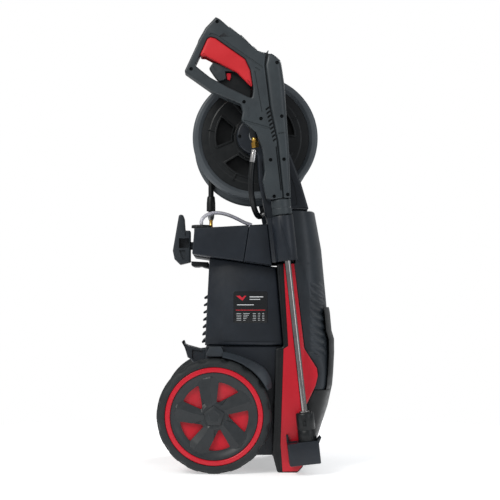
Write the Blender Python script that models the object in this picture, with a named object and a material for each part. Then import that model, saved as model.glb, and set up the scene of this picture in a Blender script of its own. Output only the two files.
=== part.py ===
"""Upright electric pressure washer on two wheels, with a hose reel, a spray gun and a lance.

Metres, +Z up. +X is the machine's front and -Y its gun side. The origin is on the floor, in the
middle of the machine's footprint. Each sub-part is one named object, made by its own function.
"""

import math

import bmesh
import bpy
from mathutils import Vector

# Fits
GAP = 0.0003  # between two pieces that touch
RUN = 0.0004  # round a shaft that turns in a bore
WALL = 0.003  # moulded shells

# Wheels and chassis
WHEEL_X = -0.0636
TYRE_R = 0.108
TYRE_WIDTH = 0.036
TYRE_LUG = 0.0028
TYRE_LUGS = 16
RIM_R = 0.0925
COVER_R = 0.0822
COVER_WINDOW = (0.0645, 0.0275)  # outer and inner radius of the five windows
WINDOW_START = 44.5
WINDOW_SWEEP = 37.5
AXLE_R = 0.006
AXLE_Z = TYRE_R
TUB_HALF = 0.112
TUB_FLOOR_Z = 0.030
TUB_TOP_Z = 0.2385
TUB_REAR_X = -0.080
TUB_FRONT_X = 0.104
TRACK_HALF = TUB_HALF + 0.020 + TYRE_WIDTH / 2
FENDER_RADII = [
    (26, 0.1205), (30, 0.1250), (34, 0.1282), (39, 0.1300), (44, 0.1303), (50, 0.1278),
    (57, 0.1247), (65, 0.1223), (74, 0.1214), (82, 0.1217),
]  # fmt: skip
FRAME_IN = TUB_HALF + 0.0005
FRAME_OUT = FRAME_IN + 0.026
PANEL_OUT = FRAME_OUT + GAP + 0.0037

# Motor housing and what it holds
HOUSING_HALF = TUB_HALF + 0.006
HOUSING_REAR_LOW_X = -0.0815
HOUSING_REAR_TOP_X = -0.0730
HOUSING_CHAMFER = (0.038, 0.018)
LOUVRE_COUNT = 7
LOUVRE_PITCH = 0.0142
MOTOR_X = -0.008
STATOR_R = 0.055
STATOR_BORE_R = 0.0325
SHAFT_R = 0.006
PUMP_TOP_Z = 0.2840

# Shelf, tank and neck
SHELF_HALF = 0.140
SHELF_REAR_X = -0.1054
SHELF_DEPTH_REAR = 0.0490
TANK_WALL = 0.0025
TANK_FRONT_TOP_X = 0.0030
TANK_FRONT_LOW_X = -0.0080
FILLER_R = 0.0145
FILLER = (-0.0885, -0.100)
CAP_R = 0.0190

# Reel
REEL_X = 0.0155
REEL_Z = 0.640
REEL_R = 0.1212
REEL_HALF = 0.0905
FLANGE_T = 0.0063
RIM_LIP = 0.0030
DRUM_R = 0.0815
HOSE_R = 0.0055
PACK_R = DRUM_R + GAP + 2 * HOSE_R + 0.0002
REEL_AXLE_R = 0.008
REEL_HUB_R = 0.0155
ARM_IN = REEL_HALF + 0.0095
ARM_OUT = ARM_IN + 0.025
CRANK_RADIUS = 0.085
CRANK_ANGLE = 250
CRANK_KNOB_R = 0.0135

# Gun and lance, in the gun's own frame: x across the barrel, z along it, muzzle at z = 0
GUN_LEAN = math.radians(6.3)
GUN_Y = -0.165
MUZZLE = (0.0649, 0.4837)
GUN_HALF = 0.019
INSERT_HALF = 0.0205
SLOT_HALF = 0.0115
TRIGGER_HALF = 0.0108
TRIGGER_PIVOT = (-0.017, 0.262)
CATCH_PIVOT = (-0.0705, 0.2735)
LANCE_R = 0.0058
LANCE_LENGTH = 0.400
LANCE_IN_GUN = 0.060
NOZZLE_R = 0.0170
NOZZLE_LENGTH = 0.0815
NOZZLE_GRIP = 0.0300
SOCKET_LENGTH = 0.0845
COLLAR_LENGTH = 0.0305
INLET_ACROSS = -0.0365
HALF_WIDTH = -GUN_Y + NOZZLE_R + 0.005

TILT = math.tan(GUN_LEAN)
WHEEL_SIDES = {"near": -1, "far": 1}


def clear_scene():
    for obj in list(bpy.data.objects):
        bpy.data.objects.remove(obj, do_unlink=True)


def linear(code):
    """An sRGB hex colour as linear values."""
    channels = [int(code[i : i + 2], 16) / 255 for i in (0, 2, 4)]
    return [c / 12.92 if c <= 0.04045 else ((c + 0.055) / 1.055) ** 2.4 for c in channels]


def material(name, colour, roughness, metallic=0.0):
    made = bpy.data.materials.new(name)
    made.use_nodes = True
    shader = made.node_tree.nodes["Principled BSDF"]
    shader.inputs["Base Color"].default_value = (*linear(colour), 1)
    shader.inputs["Roughness"].default_value = roughness
    shader.inputs["Metallic"].default_value = metallic
    made.diffuse_color = (*linear(colour), 1)
    return made


def mm(*points):
    return [(across / 1000, up / 1000) for across, up in points]


def arc(centre, radius, start, end, steps):
    """Points on an arc, its angles in degrees, both ends included."""
    angles = [math.radians(start + (end - start) * i / steps) for i in range(steps + 1)]
    return [(centre[0] + radius * math.cos(a), centre[1] + radius * math.sin(a)) for a in angles]


def circle(centre, radius, steps):
    return arc(centre, radius, 0, 360 * (steps - 1) / steps, steps - 1)


def between(table, value):
    """Linear interpolation in a table of (key, value) rows, sorted by falling key."""
    for (key_a, a), (key_b, b) in zip(table, table[1:]):
        if value >= key_b:
            return a + (b - a) * (key_a - value) / (key_a - key_b)
    return table[-1][1]


def frame_empty(name, location, turn_y=0.0):
    empty = bpy.data.objects.new(name, None)
    empty.location = location
    empty.rotation_euler.y = turn_y
    bpy.context.scene.collection.objects.link(empty)
    return empty


def solid(name, bm, finish, parent=None, helper=False):
    """Closes a bmesh into a named object with outward faces."""
    bmesh.ops.remove_doubles(bm, verts=bm.verts[:], dist=1e-6)
    bmesh.ops.recalc_face_normals(bm, faces=bm.faces[:])
    mesh = bpy.data.meshes.new(name)
    bm.to_mesh(mesh)
    bm.free()
    obj = bpy.data.objects.new(name, mesh)
    obj.parent = parent
    bpy.context.scene.collection.objects.link(obj)
    if helper:
        obj.hide_render = True
        obj.display_type = "WIRE"
        return obj
    mesh.materials.append(finish)
    mesh.shade_smooth()
    mesh.set_sharp_from_angle(angle=math.radians(35))
    return obj


def plate(name, outline, low, high, finish=None, parent=None, holes=(), helper=False):
    """An outline in XZ, with holes, extruded along Y from low to high."""
    bm = bmesh.new()
    edges = []
    for loop in [outline, *holes]:
        verts = [bm.verts.new((x, low, z)) for x, z in loop]
        edges += [bm.edges.new((verts[i - 1], verts[i])) for i in range(len(verts))]
    bmesh.ops.triangle_fill(bm, edges=edges, use_beauty=True)
    raised = bmesh.ops.extrude_face_region(bm, geom=bm.faces[:])["geom"]
    moved = [v for v in raised if isinstance(v, bmesh.types.BMVert)]
    bmesh.ops.translate(bm, vec=(0, high - low, 0), verts=moved)
    return solid(name, bm, finish, parent, helper)


def block(name, low, high, finish=None, parent=None, helper=False):
    outline = [(low[0], low[2]), (high[0], low[2]), (high[0], high[2]), (low[0], high[2])]
    return plate(name, outline, low[1], high[1], finish, parent, helper=helper)


AXES = {
    "X": lambda r, h: (h, r, 0),
    "Y": lambda r, h: (r, h, 0),
    "Z": lambda r, h: (r, 0, h),
}


def turned(name, profile, axis, centre, finish=None, parent=None, steps=32, helper=False):
    """A closed profile of (radius, height) turned about an axis through centre."""
    bm = bmesh.new()
    place = AXES[axis]
    verts = [bm.verts.new(Vector(place(r, h)) + Vector(centre)) for r, h in profile]
    edges = []
    for i, vert in enumerate(verts):
        if profile[i][0] > 0 or profile[i - 1][0] > 0:
            edges.append(bm.edges.new((verts[i - 1], vert)))
    direction = Vector((axis == "X", axis == "Y", axis == "Z"))
    bmesh.ops.spin(
        bm, geom=verts + edges, cent=centre, axis=direction, angle=math.tau, steps=steps
    )
    return solid(name, bm, finish, parent, helper)


def rod(name, axis, centre, radius, low, high, finish=None, parent=None, steps=24, helper=False):
    profile = [(0, low), (radius, low), (radius, high), (0, high)]
    return turned(name, profile, axis, centre, finish, parent, steps, helper)


def loft(name, sections, finish=None, parent=None, helper=False):
    """Closed loops of equal length joined one to the next, with a face on each end."""
    bm = bmesh.new()
    rings = [[bm.verts.new(point) for point in loop] for loop in sections]
    for ring_a, ring_b in zip(rings, rings[1:]):
        for i in range(len(ring_a)):
            bm.faces.new((ring_a[i - 1], ring_a[i], ring_b[i], ring_b[i - 1]))
    for ring in (rings[0], rings[-1]):
        edges = [bm.edges.get((ring[i - 1], ring[i])) for i in range(len(ring))]
        bmesh.ops.triangle_fill(bm, edges=edges, use_beauty=True)
    return solid(name, bm, finish, parent, helper)


def boolean(obj, other, operation):
    made = obj.modifiers.new(operation.title() + " " + other.name, "BOOLEAN")
    made.operation = operation
    made.object = other
    other.hide_render = True
    other.display_type = "WIRE"
    return obj


def cut(obj, *cutters):
    for cutter in cutters:
        boolean(obj, cutter, "DIFFERENCE")
    return obj


def join(obj, *others):
    for other in others:
        boolean(obj, other, "UNION")
    return obj


def soften(obj, width, segments=2):
    made = obj.modifiers.new("Bevel", "BEVEL")
    made.width = width
    made.segments = segments
    made.limit_method = "ANGLE"
    made.angle_limit = math.radians(40)
    return obj


def paired(side, low, high):
    """A Y span given for the far side, placed on this side."""
    return (low, high) if side > 0 else (-high, -low)


# Lines that neighbouring pieces share


def shelf_top(x):
    return 0.4678 + 0.0560 * x


def shelf_bottom(x):
    return shelf_top(x) - SHELF_DEPTH_REAR - 0.2030 * (x - SHELF_REAR_X)


def neck_rear(z):
    return 0.0375 + (0.4715 - z) * TILT


COVER_REAR = mm(
    (499, 84.6), (396.5, 91.2), (395, 89.0), (234.5, 109.4), (197.5, 132.6),
    (183, 134.6), (164, 130.0), (155, 126.4), (120, 110.6), (50, 107.5),
)  # fmt: skip
COVER_NOSE = mm(
    (499, 133), (424.4, 146.6), (319.2, 156.4), (300, 157.5), (266.8, 159.6),
    (250, 163.6), (224, 164.6), (162.8, 160.6), (155, 159.2),
)  # fmt: skip
LOWER_NOSE = mm(
    (312, 161.4), (302, 163.4), (266.8, 166.6), (250, 171.6), (224, 171.6),
    (162.8, 166.8), (122, 158.4), (58.6, 137),
)  # fmt: skip
COVER_HALF = mm((499, 124.5), (396, 129), (300, 131), (155, 129), (58.6, 120))
FRONT_COVER_TOP = 0.4978
FRONT_COVER_LOW = 0.1560
LOWER_COVER_TOP = 0.3120
LOWER_COVER_LOW = 0.0586
LOWER_WRAP = 0.016


def frame_outline():
    """The side frame, from its top rear corner round its rear, its foot and its front."""
    return mm(
        (55.3, 395.2), (68.3, 236.5), (53.2, 234.5), (46.2, 36.8), (55.8, 0), (94, 0), (104.4, 11),
        (108.5, 120), (129, 164), (133.5, 183), (131.5, 197.5), (108.3, 234.5), (88, 395.2),
    )  # fmt: skip


def panel_outline():
    return mm(
        (67.8, 394.6), (76.6, 239), (67.8, 233.4), (61.9, 53.8), (65.5, 2.4), (94, 3.2),
        (103.0, 13), (107.2, 120.9), (128, 164.6), (132.4, 183.2), (130.4, 197), (107.2, 233.4),
        (105.6, 240), (87, 394.6),
    )  # fmt: skip


# Chassis


def make_tub(finish):
    outer = [
        (TUB_REAR_X, TUB_TOP_Z), (TUB_REAR_X, 0.075), (TUB_REAR_X + 0.030, TUB_FLOOR_Z),
        (TUB_FRONT_X, TUB_FLOOR_Z), (TUB_FRONT_X, TUB_TOP_Z),
    ]  # fmt: skip
    inner = [
        (TUB_REAR_X + WALL, TUB_TOP_Z + 0.01), (TUB_REAR_X + WALL, 0.077),
        (TUB_REAR_X + 0.031, TUB_FLOOR_Z + 0.004), (TUB_FRONT_X - WALL, TUB_FLOOR_Z + 0.004),
        (TUB_FRONT_X - WALL, TUB_TOP_Z + 0.01),
    ]  # fmt: skip
    tub = soften(plate("chassis_tub", outer, -TUB_HALF, TUB_HALF, finish), 0.003)
    hollow = plate("tub_hollow", inner, WALL - TUB_HALF, TUB_HALF - WALL, helper=True)
    bore = rod(
        "tub_axle_bore", "Y", (WHEEL_X, 0, AXLE_Z), AXLE_R + GAP, -TUB_HALF - 0.01, TUB_HALF + 0.01,
        helper=True,
    )  # fmt: skip
    return cut(tub, hollow, bore)


def make_axle(finish):
    reach = TRACK_HALF + 0.012
    return rod("wheel_axle", "Y", (WHEEL_X, 0, AXLE_Z), AXLE_R, -reach, reach, finish)


def make_side_frames(finish):
    for name, side in WHEEL_SIDES.items():
        frame = plate(f"side_frame_{name}", frame_outline(), *paired(side, FRAME_IN, FRAME_OUT), finish)
        soften(frame, 0.002, 1)


def make_side_panels(finish):
    """The coloured side panels, with a ridge that runs down them."""
    ridge = mm((90.5, 340), (93.5, 340), (101.5, 118), (94, 60), (90, 60), (97.5, 118))
    for name, side in WHEEL_SIDES.items():
        low, high = FRAME_OUT + GAP, PANEL_OUT
        panel = plate(f"side_panel_{name}", panel_outline(), *paired(side, low, high), finish)
        soften(panel, 0.0012, 1)
        rib = plate(
            f"panel_ridge_{name}", ridge, *paired(side, high - 0.001, high + 0.0012), helper=True
        )
        join(panel, rib)


def fender_outline():
    """A crescent over the wheel, fullest ahead of it, with a straight foot at its rear."""
    centre = (WHEEL_X, AXLE_Z)
    outline = []
    for angle, radius in FENDER_RADII:
        outline += arc(centre, radius, angle, angle, 1)[:1]
    outline += mm((-50.0, 238), (-72.0, 237.5), (-79.6, 221.5))
    return outline + arc(centre, TYRE_R + 0.0025, 98, 26, 14)


def make_fenders(finish):
    for name, side in WHEEL_SIDES.items():
        span = paired(side, TUB_HALF + GAP, TRACK_HALF + 0.010)
        soften(plate(f"fender_{name}", fender_outline(), *span, finish), 0.002, 1)


def make_lower_hook(finish):
    rear = 1000 * (TUB_REAR_X - GAP)
    outline = mm(
        (-127.6, 247), (-124, 239.5), (-117, 236), (-92.5, 229.2), (rear, 230.5), (rear, 198.5),
        (-95, 196.5), (-105.6, 201.4), (-110.5, 209), (-117, 212.8), (-119.5, 222),
    )  # fmt: skip
    soften(plate("lower_cord_hook", outline, -0.032, 0.032, finish), 0.002, 1)


# Wheels


def make_wheels(rubber, red, black):
    for name, side in WHEEL_SIDES.items():
        hub = frame_empty(f"wheel_{name}_axis", (WHEEL_X, side * TRACK_HALF, AXLE_Z))
        make_tyre(name, hub, rubber)
        make_rim(name, side, hub, red)
        make_wheel_cover(name, side, hub, black)
        make_hub_cap(name, side, hub, black)


def make_tyre(name, hub, finish):
    count = TYRE_LUGS * 4
    outline = []
    for i in range(count):
        angle = math.tau * i / count
        radius = TYRE_R - TYRE_LUG * (1 - math.cos(angle * TYRE_LUGS)) / 2
        outline.append((radius * math.cos(angle), radius * math.sin(angle)))
    bore = circle((0, 0), RIM_R, 40)
    tyre = plate(f"tyre_{name}", outline, -TYRE_WIDTH / 2, TYRE_WIDTH / 2, finish, hub, [bore])
    soften(tyre, 0.004, 1)


def make_rim(name, side, hub, finish):
    edge = RIM_R - GAP
    lip = COVER_R + GAP
    back = -TYRE_WIDTH / 2 + 0.0005
    bore = AXLE_R + RUN
    profile = [
        (bore, -0.014), (0.015, -0.014), (0.015, -0.002), (lip + 0.0015, -0.002),
        (lip + 0.0015, back), (edge, back), (edge, 0.0165), (lip, 0.0165), (lip, 0.003), (bore, 0.003),
    ]  # fmt: skip
    turned(f"rim_{name}", [(r, side * h) for r, h in profile], "Y", (0, 0, 0), finish, hub, 40)


def window(outer_r, inner_r, start, sweep, shift):
    """One window between two spokes: an outer arc and a shorter inner edge, turned by shift."""
    outer = arc((0, 0), outer_r, start, start + sweep, 4)
    inner = arc((0, 0), inner_r, start + sweep * 0.62 + shift, start + sweep * 0.38 + shift, 1)
    return outer + inner


def make_wheel_cover(name, side, hub, finish):
    windows = [window(*COVER_WINDOW, WINDOW_START + 72 * i, WINDOW_SWEEP, 12) for i in range(5)]
    bore = circle((0, 0), AXLE_R + 0.0015, 20)
    span = paired(side, 0.003 + GAP, 0.0150)
    plate(
        f"wheel_cover_{name}", circle((0, 0), COVER_R, 40), *span, finish, hub, [bore, *windows]
    )


def make_hub_cap(name, side, hub, finish):
    outline = arc((0, 0), 0.0215, 18, 306, 4)
    cap = plate(f"hub_cap_{name}", outline, *paired(side, 0.0150 + GAP, 0.0185), finish, hub)
    soften(cap, 0.0012, 1)


# Motor housing


def housing_section(inset, z, x_rear, x_front):
    """A rectangle in plan with its two rear corners cut off."""
    run, rise = HOUSING_CHAMFER
    half = HOUSING_HALF - inset
    rear = x_rear + inset
    front = x_front - inset
    plan = [
        (front, -half), (rear + run, -half), (rear, -half + rise), (rear, half - rise),
        (rear + run, half), (front, half),
    ]  # fmt: skip
    return [(x, y, z(x)) for x, y in plan]


def make_housing(finish):
    def roof(inset):
        return lambda x: shelf_bottom(x) - GAP - inset

    front_low, front_top = 0.0680, 0.0550
    low_z = TUB_TOP_Z + GAP
    shell = loft(
        "motor_housing",
        [
            housing_section(0, lambda x: low_z, HOUSING_REAR_LOW_X, front_low - GAP),
            housing_section(0, roof(0), HOUSING_REAR_TOP_X, front_top - GAP),
        ],
        finish,
    )
    soften(shell, 0.004)
    for i in range(LOUVRE_COUNT):
        join(shell, make_louvre(i))
    hollow = loft(
        "housing_hollow",
        [
            housing_section(WALL, lambda x: low_z - 0.01, HOUSING_REAR_LOW_X, front_low),
            housing_section(WALL, roof(WALL), HOUSING_REAR_TOP_X, front_top),
        ],
        helper=True,
    )
    return cut(shell, hollow)


def make_louvre(index):
    """One cooling fin across the housing's rear wall, its lip tipped down."""
    z = TUB_TOP_Z + 0.006 + index * LOUVRE_PITCH
    share = index * LOUVRE_PITCH / 0.16
    wall = HOUSING_REAR_LOW_X + (HOUSING_REAR_TOP_X - HOUSING_REAR_LOW_X) * share
    tip = wall - 0.0065
    outline = [(wall + 0.002, z), (tip, z - 0.002), (tip, z + 0.002), (wall + 0.002, z + 0.0075)]
    return plate(f"louvre_{index}", outline, -0.078, 0.078, helper=True)


def make_motor(finish):
    centre = (MOTOR_X, 0, 0)
    stator = [
        (STATOR_BORE_R, PUMP_TOP_Z + GAP), (STATOR_R, PUMP_TOP_Z + GAP),
        (STATOR_R, 0.358), (STATOR_BORE_R, 0.358),
    ]  # fmt: skip
    turned("motor_stator", stator, "Z", centre, finish)
    core = STATOR_BORE_R - 0.0006
    rotor = [
        (0, 0.225), (SHAFT_R, 0.225), (SHAFT_R, 0.288), (core, 0.288), (core, 0.354),
        (SHAFT_R, 0.354), (SHAFT_R, 0.364), (0.016, 0.364), (0.016, 0.3665), (0.050, 0.3665),
        (0.050, 0.3690), (0.016, 0.3690), (0.016, 0.3760), (0, 0.3760),
    ]  # fmt: skip
    fan = turned("motor_rotor", rotor, "Z", centre, finish, steps=20)
    for i in range(8):
        join(fan, make_fan_blade(i))


def make_fan_blade(index):
    blade = block(f"fan_blade_{index}", (0.015, -0.001, 0.3685), (0.049, 0.001, 0.3755), helper=True)
    blade.location.x = MOTOR_X
    blade.rotation_euler.z = math.tau * index / 8
    return blade


def make_pump(finish):
    floor = TUB_FLOOR_Z + 0.004 + GAP
    pump = block("pump_body", (-0.048, -0.045, floor), (0.034, 0.045, 0.190), finish)
    soften(pump, 0.004, 1)
    flange = [
        (0, 0.180), (0.036, 0.180), (0.036, 0.262), (STATOR_R, 0.272), (STATOR_R, PUMP_TOP_Z),
        (0, PUMP_TOP_Z),
    ]  # fmt: skip
    join(pump, turned("pump_flange", flange, "Z", (MOTOR_X, 0, 0), helper=True))
    shaft = rod(
        "pump_shaft_bore", "Z", (MOTOR_X, 0, 0), SHAFT_R + RUN, 0.224, 0.30, steps=20, helper=True
    )
    return cut(pump, shaft)


def far_fitting(name, profile, place, finish, steps=20):
    """A turned piece on the housing's far side, its profile counted outwards from the wall."""
    placed = [(r, HOUSING_HALF + GAP + h) for r, h in profile]
    return turned(name, placed, "Y", (place[0], 0, place[1]), finish, steps=steps)


def make_far_fittings(plastic, brass):
    inlet = [
        (0.0065, 0.010), (0.0065, 0.034), (0.0105, 0.034), (0.0105, 0.024), (0.0132, 0.022),
        (0.0132, 0.010), (0.0190, 0.008), (0.0190, 0), (0, 0), (0, 0.010),
    ]  # fmt: skip
    far_fitting("water_inlet", inlet, (0.018, 0.290), brass)
    knob = [(0, 0.004), (0.021, 0.004), (0.021, 0.008), (0.0185, 0.020), (0, 0.020)]
    switch = far_fitting("switch_knob", knob, (-0.010, 0.352), plastic)
    low, high = HOUSING_HALF + 0.019, HOUSING_HALF + 0.0265
    join(switch, block("switch_bar", (-0.014, low, 0.333), (-0.006, high, 0.371), helper=True))
    gland = [
        (0, 0), (0.0110, 0), (0.0110, 0.006), (0.0085, 0.014), (0.0045, 0.014), (0.0045, 0.004),
        (0, 0.004),
    ]  # fmt: skip
    far_fitting("mains_inlet_bush", gland, (-0.022, 0.262), plastic)


# Shelf, tank and cord hooks


def tank_outline(inset):
    rear_top, rear_low = SHELF_REAR_X + 0.0045 + inset, SHELF_REAR_X + inset
    front_top, front_low = TANK_FRONT_TOP_X - inset, TANK_FRONT_LOW_X - inset
    return [
        (rear_top, shelf_top(rear_top) - inset), (rear_low, shelf_bottom(rear_low) + inset),
        (front_low, shelf_bottom(front_low) + inset), (front_top, shelf_top(front_top) - inset),
    ]  # fmt: skip


def make_tank(finish):
    tank = soften(plate("detergent_tank", tank_outline(0), -SHELF_HALF, SHELF_HALF, finish), 0.006, 3)
    inside = plate(
        "tank_inside", tank_outline(TANK_WALL + 0.0005), TANK_WALL - SHELF_HALF, SHELF_HALF - TANK_WALL,
        helper=True,
    )  # fmt: skip
    mouth = rod("tank_mouth", "Z", (*FILLER, 0), FILLER_R, 0.445, 0.480, helper=True)
    return cut(tank, inside, mouth)


def make_cap(finish):
    seat = shelf_top(FILLER[0] + CAP_R) + GAP
    profile = [
        (0, seat - 0.012), (FILLER_R - 0.0006, seat - 0.012), (FILLER_R - 0.0006, seat),
        (CAP_R, seat), (CAP_R, seat + 0.0045), (CAP_R - 0.0012, seat + 0.0057), (0, seat + 0.0057),
    ]  # fmt: skip
    turned("detergent_cap", profile, "Z", (*FILLER, 0), finish, steps=28)
    return seat + 0.0057


def make_shelf_bracket(finish):
    top_x, low_x = TANK_FRONT_TOP_X + 2 * GAP, TANK_FRONT_LOW_X + 2 * GAP
    front_top, front_low = neck_rear(0.470) - 2 * GAP, neck_rear(0.3895) - 2 * GAP
    outline = [
        (top_x, shelf_top(top_x)), (low_x, shelf_bottom(low_x)),
        (front_low, shelf_bottom(front_low)), (front_top, shelf_top(front_top)),
    ]  # fmt: skip
    bracket = plate("shelf_bracket", outline, -SHELF_HALF, SHELF_HALF, finish)
    return soften(bracket, 0.003, 2)


def make_cord_bar(finish):
    outline = mm((-109.5, 402.5), (-109.5, 392.5), (-75.5, 388.5), (-75.5, 400.5))
    soften(plate("cord_guide_bar", outline, -0.045, 0.045, finish), 0.0015, 1)


def make_upper_hook(finish):
    """The upper cord hook, which turns on a stub that points out of the tank."""
    centre_z = 0.434
    pivot = frame_empty("upper_hook_axis", (SHELF_REAR_X, 0, centre_z))
    wing = mm(
        (-27.5, 61), (-23, 62), (-16.5, 30), (-6, 30), (-6, -30), (-30, -38), (-38, -27), (-41.5, -10),
    )  # fmt: skip
    hook = soften(plate("upper_cord_hook", wing, -0.020, 0.020, finish, pivot), 0.002, 1)
    low, high = (-0.029, -0.025, -0.005), (-0.009, -0.008, 0.0145)
    cut(hook, block("hook_recess", low, high, parent=pivot, helper=True))
    stub = rod("hook_stub", "X", (0, 0, 0), 0.008, -0.008, 0.0006, None, pivot, 16, helper=True)
    return join(hook, stub)


# Neck, front covers


def make_neck_back(finish):
    low_z = 0.3990
    outline = [
        (neck_rear(low_z), low_z), (neck_rear(0.4745), 0.4745), (0.0820, 0.4965), (0.0820, 0.4915),
        (neck_rear(0.4705) + 0.004, 0.4705), (neck_rear(low_z) + 0.005, low_z),
    ]  # fmt: skip
    plate("neck_back", outline, GAP - ARM_IN, ARM_IN - GAP, finish)


def arm_outline():
    head = arc((REEL_X, REEL_Z), 0.036, 60, 275, 16)
    join_z = FRONT_COVER_TOP + GAP + 0.0005
    return [
        *head,
        (REEL_X + 0.0055, REEL_Z - 0.0846), (REEL_X + 0.0150, REEL_Z - 0.1324),
        (neck_rear(0.4755), 0.4755), (neck_rear(0.3962), 0.3962),
        (0.0903, 0.3970), (0.0840, join_z), (0.1172, join_z), (0.1025, 0.5485), (0.0815, 0.6056),
    ]  # fmt: skip


def make_arms(finish):
    bores = {"near": REEL_AXLE_R + GAP, "far": REEL_HUB_R + RUN}
    for name, side in WHEEL_SIDES.items():
        arm = plate(f"yoke_arm_{name}", arm_outline(), *paired(side, ARM_IN, ARM_OUT), finish)
        soften(arm, 0.004, 1)
        bore = rod(
            f"arm_bore_{name}", "Y", (REEL_X, 0, REEL_Z), bores[name],
            *paired(side, ARM_IN - 0.01, ARM_OUT + 0.01), helper=True, steps=32,
        )  # fmt: skip
        cut(arm, bore)


def shell_section(z, rear, nose, half, start, wall):
    """A U in plan at height z, open to the rear: its outer wall, then its inner wall back."""
    steps = 7
    power = 3.2

    def side(inset):
        length = nose - inset - rear
        share = max(0.0, (start - rear) / length) ** (power / 2)
        first = math.asin(min(1, share))
        points = []
        for i in range(steps + 1):
            angle = first + (math.pi / 2 - first) * i / steps
            x = rear + length * math.sin(angle) ** (2 / power)
            y = (half - inset) * max(0.0, math.cos(angle)) ** (2 / power)
            points.append((x, y))
        return points

    outer, inner = side(0), side(wall)
    loop = [(x, -y) for x, y in outer] + outer[-2::-1] + inner + [(x, -y) for x, y in inner[-2::-1]]
    return [(x, y, z) for x, y in loop]


def make_front_cover(finish):
    heights = [FRONT_COVER_TOP, 0.4244, 0.3960, 0.3192, 0.2668, 0.2345, 0.1975, 0.183, 0.164]
    sections = []
    for z in [*heights, FRONT_COVER_LOW]:
        rear = between(COVER_REAR, z)
        sections.append(
            shell_section(z, rear, between(COVER_NOSE, z), between(COVER_HALF, z), rear, WALL)
        )
    cover = loft("front_cover", sections, finish)
    lid = [(x, y) for x, y, _ in sections[0][:15]]
    cap = loft(
        "front_cover_lid",
        [[(x, y, z) for x, y in lid] for z in (FRONT_COVER_TOP - WALL, FRONT_COVER_TOP)],
        helper=True,
    )
    return join(cover, cap)


def make_lower_cover(finish):
    """The lower front cover: a narrow wrap in front of the upper one, full width below it."""
    heights = [LOWER_COVER_TOP, 0.302, 0.2668, 0.250, 0.224, 0.190, 0.1628, FRONT_COVER_LOW - GAP]
    sections = []
    for z in heights:
        nose = between(LOWER_NOSE, z)
        sections.append(lower_section(z, nose, nose - LOWER_WRAP))
    for z in [FRONT_COVER_LOW - 0.0012, 0.122, 0.090, LOWER_COVER_LOW]:
        sections.append(lower_section(z, between(LOWER_NOSE, z), 0))
    return loft("front_lower_cover", sections, finish)


def lower_section(z, nose, start):
    rear = between(COVER_REAR, z)
    half = between(COVER_HALF, z) + WALL + GAP
    return shell_section(z, rear, nose, half, max(start, rear), WALL)


# Reel


def make_reel(black, grey, rubber, steel):
    axis = frame_empty("reel_axis", (REEL_X, 0, REEL_Z))
    make_flange("near", -1, axis, grey)
    make_flange("far", 1, axis, grey)
    inner = REEL_HALF - FLANGE_T - GAP
    drum = [(DRUM_R - WALL, -inner), (DRUM_R, -inner), (DRUM_R, inner), (DRUM_R - WALL, inner)]
    turned("reel_drum", drum, "Y", (0, 0, 0), black, axis, 40)
    low = DRUM_R + GAP
    pack = [(low, -inner), (PACK_R, -inner), (PACK_R, inner), (low, inner)]
    turned("hose_pack", pack, "Y", (0, 0, 0), rubber, axis, 40)
    make_reel_axle(steel)
    make_crank(axis, black)


def make_flange(name, side, axis, finish):
    face, back = REEL_HALF, REEL_HALF - FLANGE_T
    bore = REEL_AXLE_R + RUN
    hub_r, hub_end = (0.020, face + 0.008) if side < 0 else (REEL_HUB_R, ARM_OUT + 0.001)
    profile = [
        (bore, back), (REEL_R - 0.016, back), (REEL_R - 0.015, back - RIM_LIP),
        (REEL_R, back - RIM_LIP), (REEL_R, face - 0.0022), (REEL_R - 0.0022, face),
        (REEL_R - 0.0127, face), (REEL_R - 0.0152, face - 0.0033), (hub_r, face - 0.0033),
        (hub_r, hub_end), (bore, hub_end),
    ]  # fmt: skip
    turned_profile = [(r, side * h) for r, h in profile]
    flange = turned(f"reel_flange_{name}", turned_profile, "Y", (0, 0, 0), finish, axis, 40)
    for i in range(5):
        hole = window(0.0760, 0.0470, 148 + 72 * i, 44, 0)
        cutter = plate(
            f"flange_window_{name}_{i}", hole, *paired(side, back - 0.01, face + 0.01), parent=axis,
            helper=True,
        )  # fmt: skip
        cut(flange, cutter)


def make_reel_axle(finish):
    near, far = -ARM_OUT - GAP, ARM_OUT + 0.0130
    profile = [
        (0, near - 0.004), (0.0115, near - 0.004), (0.013, near - 0.0025), (0.013, near),
        (REEL_AXLE_R, near), (REEL_AXLE_R, far), (0, far),
    ]  # fmt: skip
    turned("reel_axle", profile, "Y", (REEL_X, 0, REEL_Z), finish)


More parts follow.
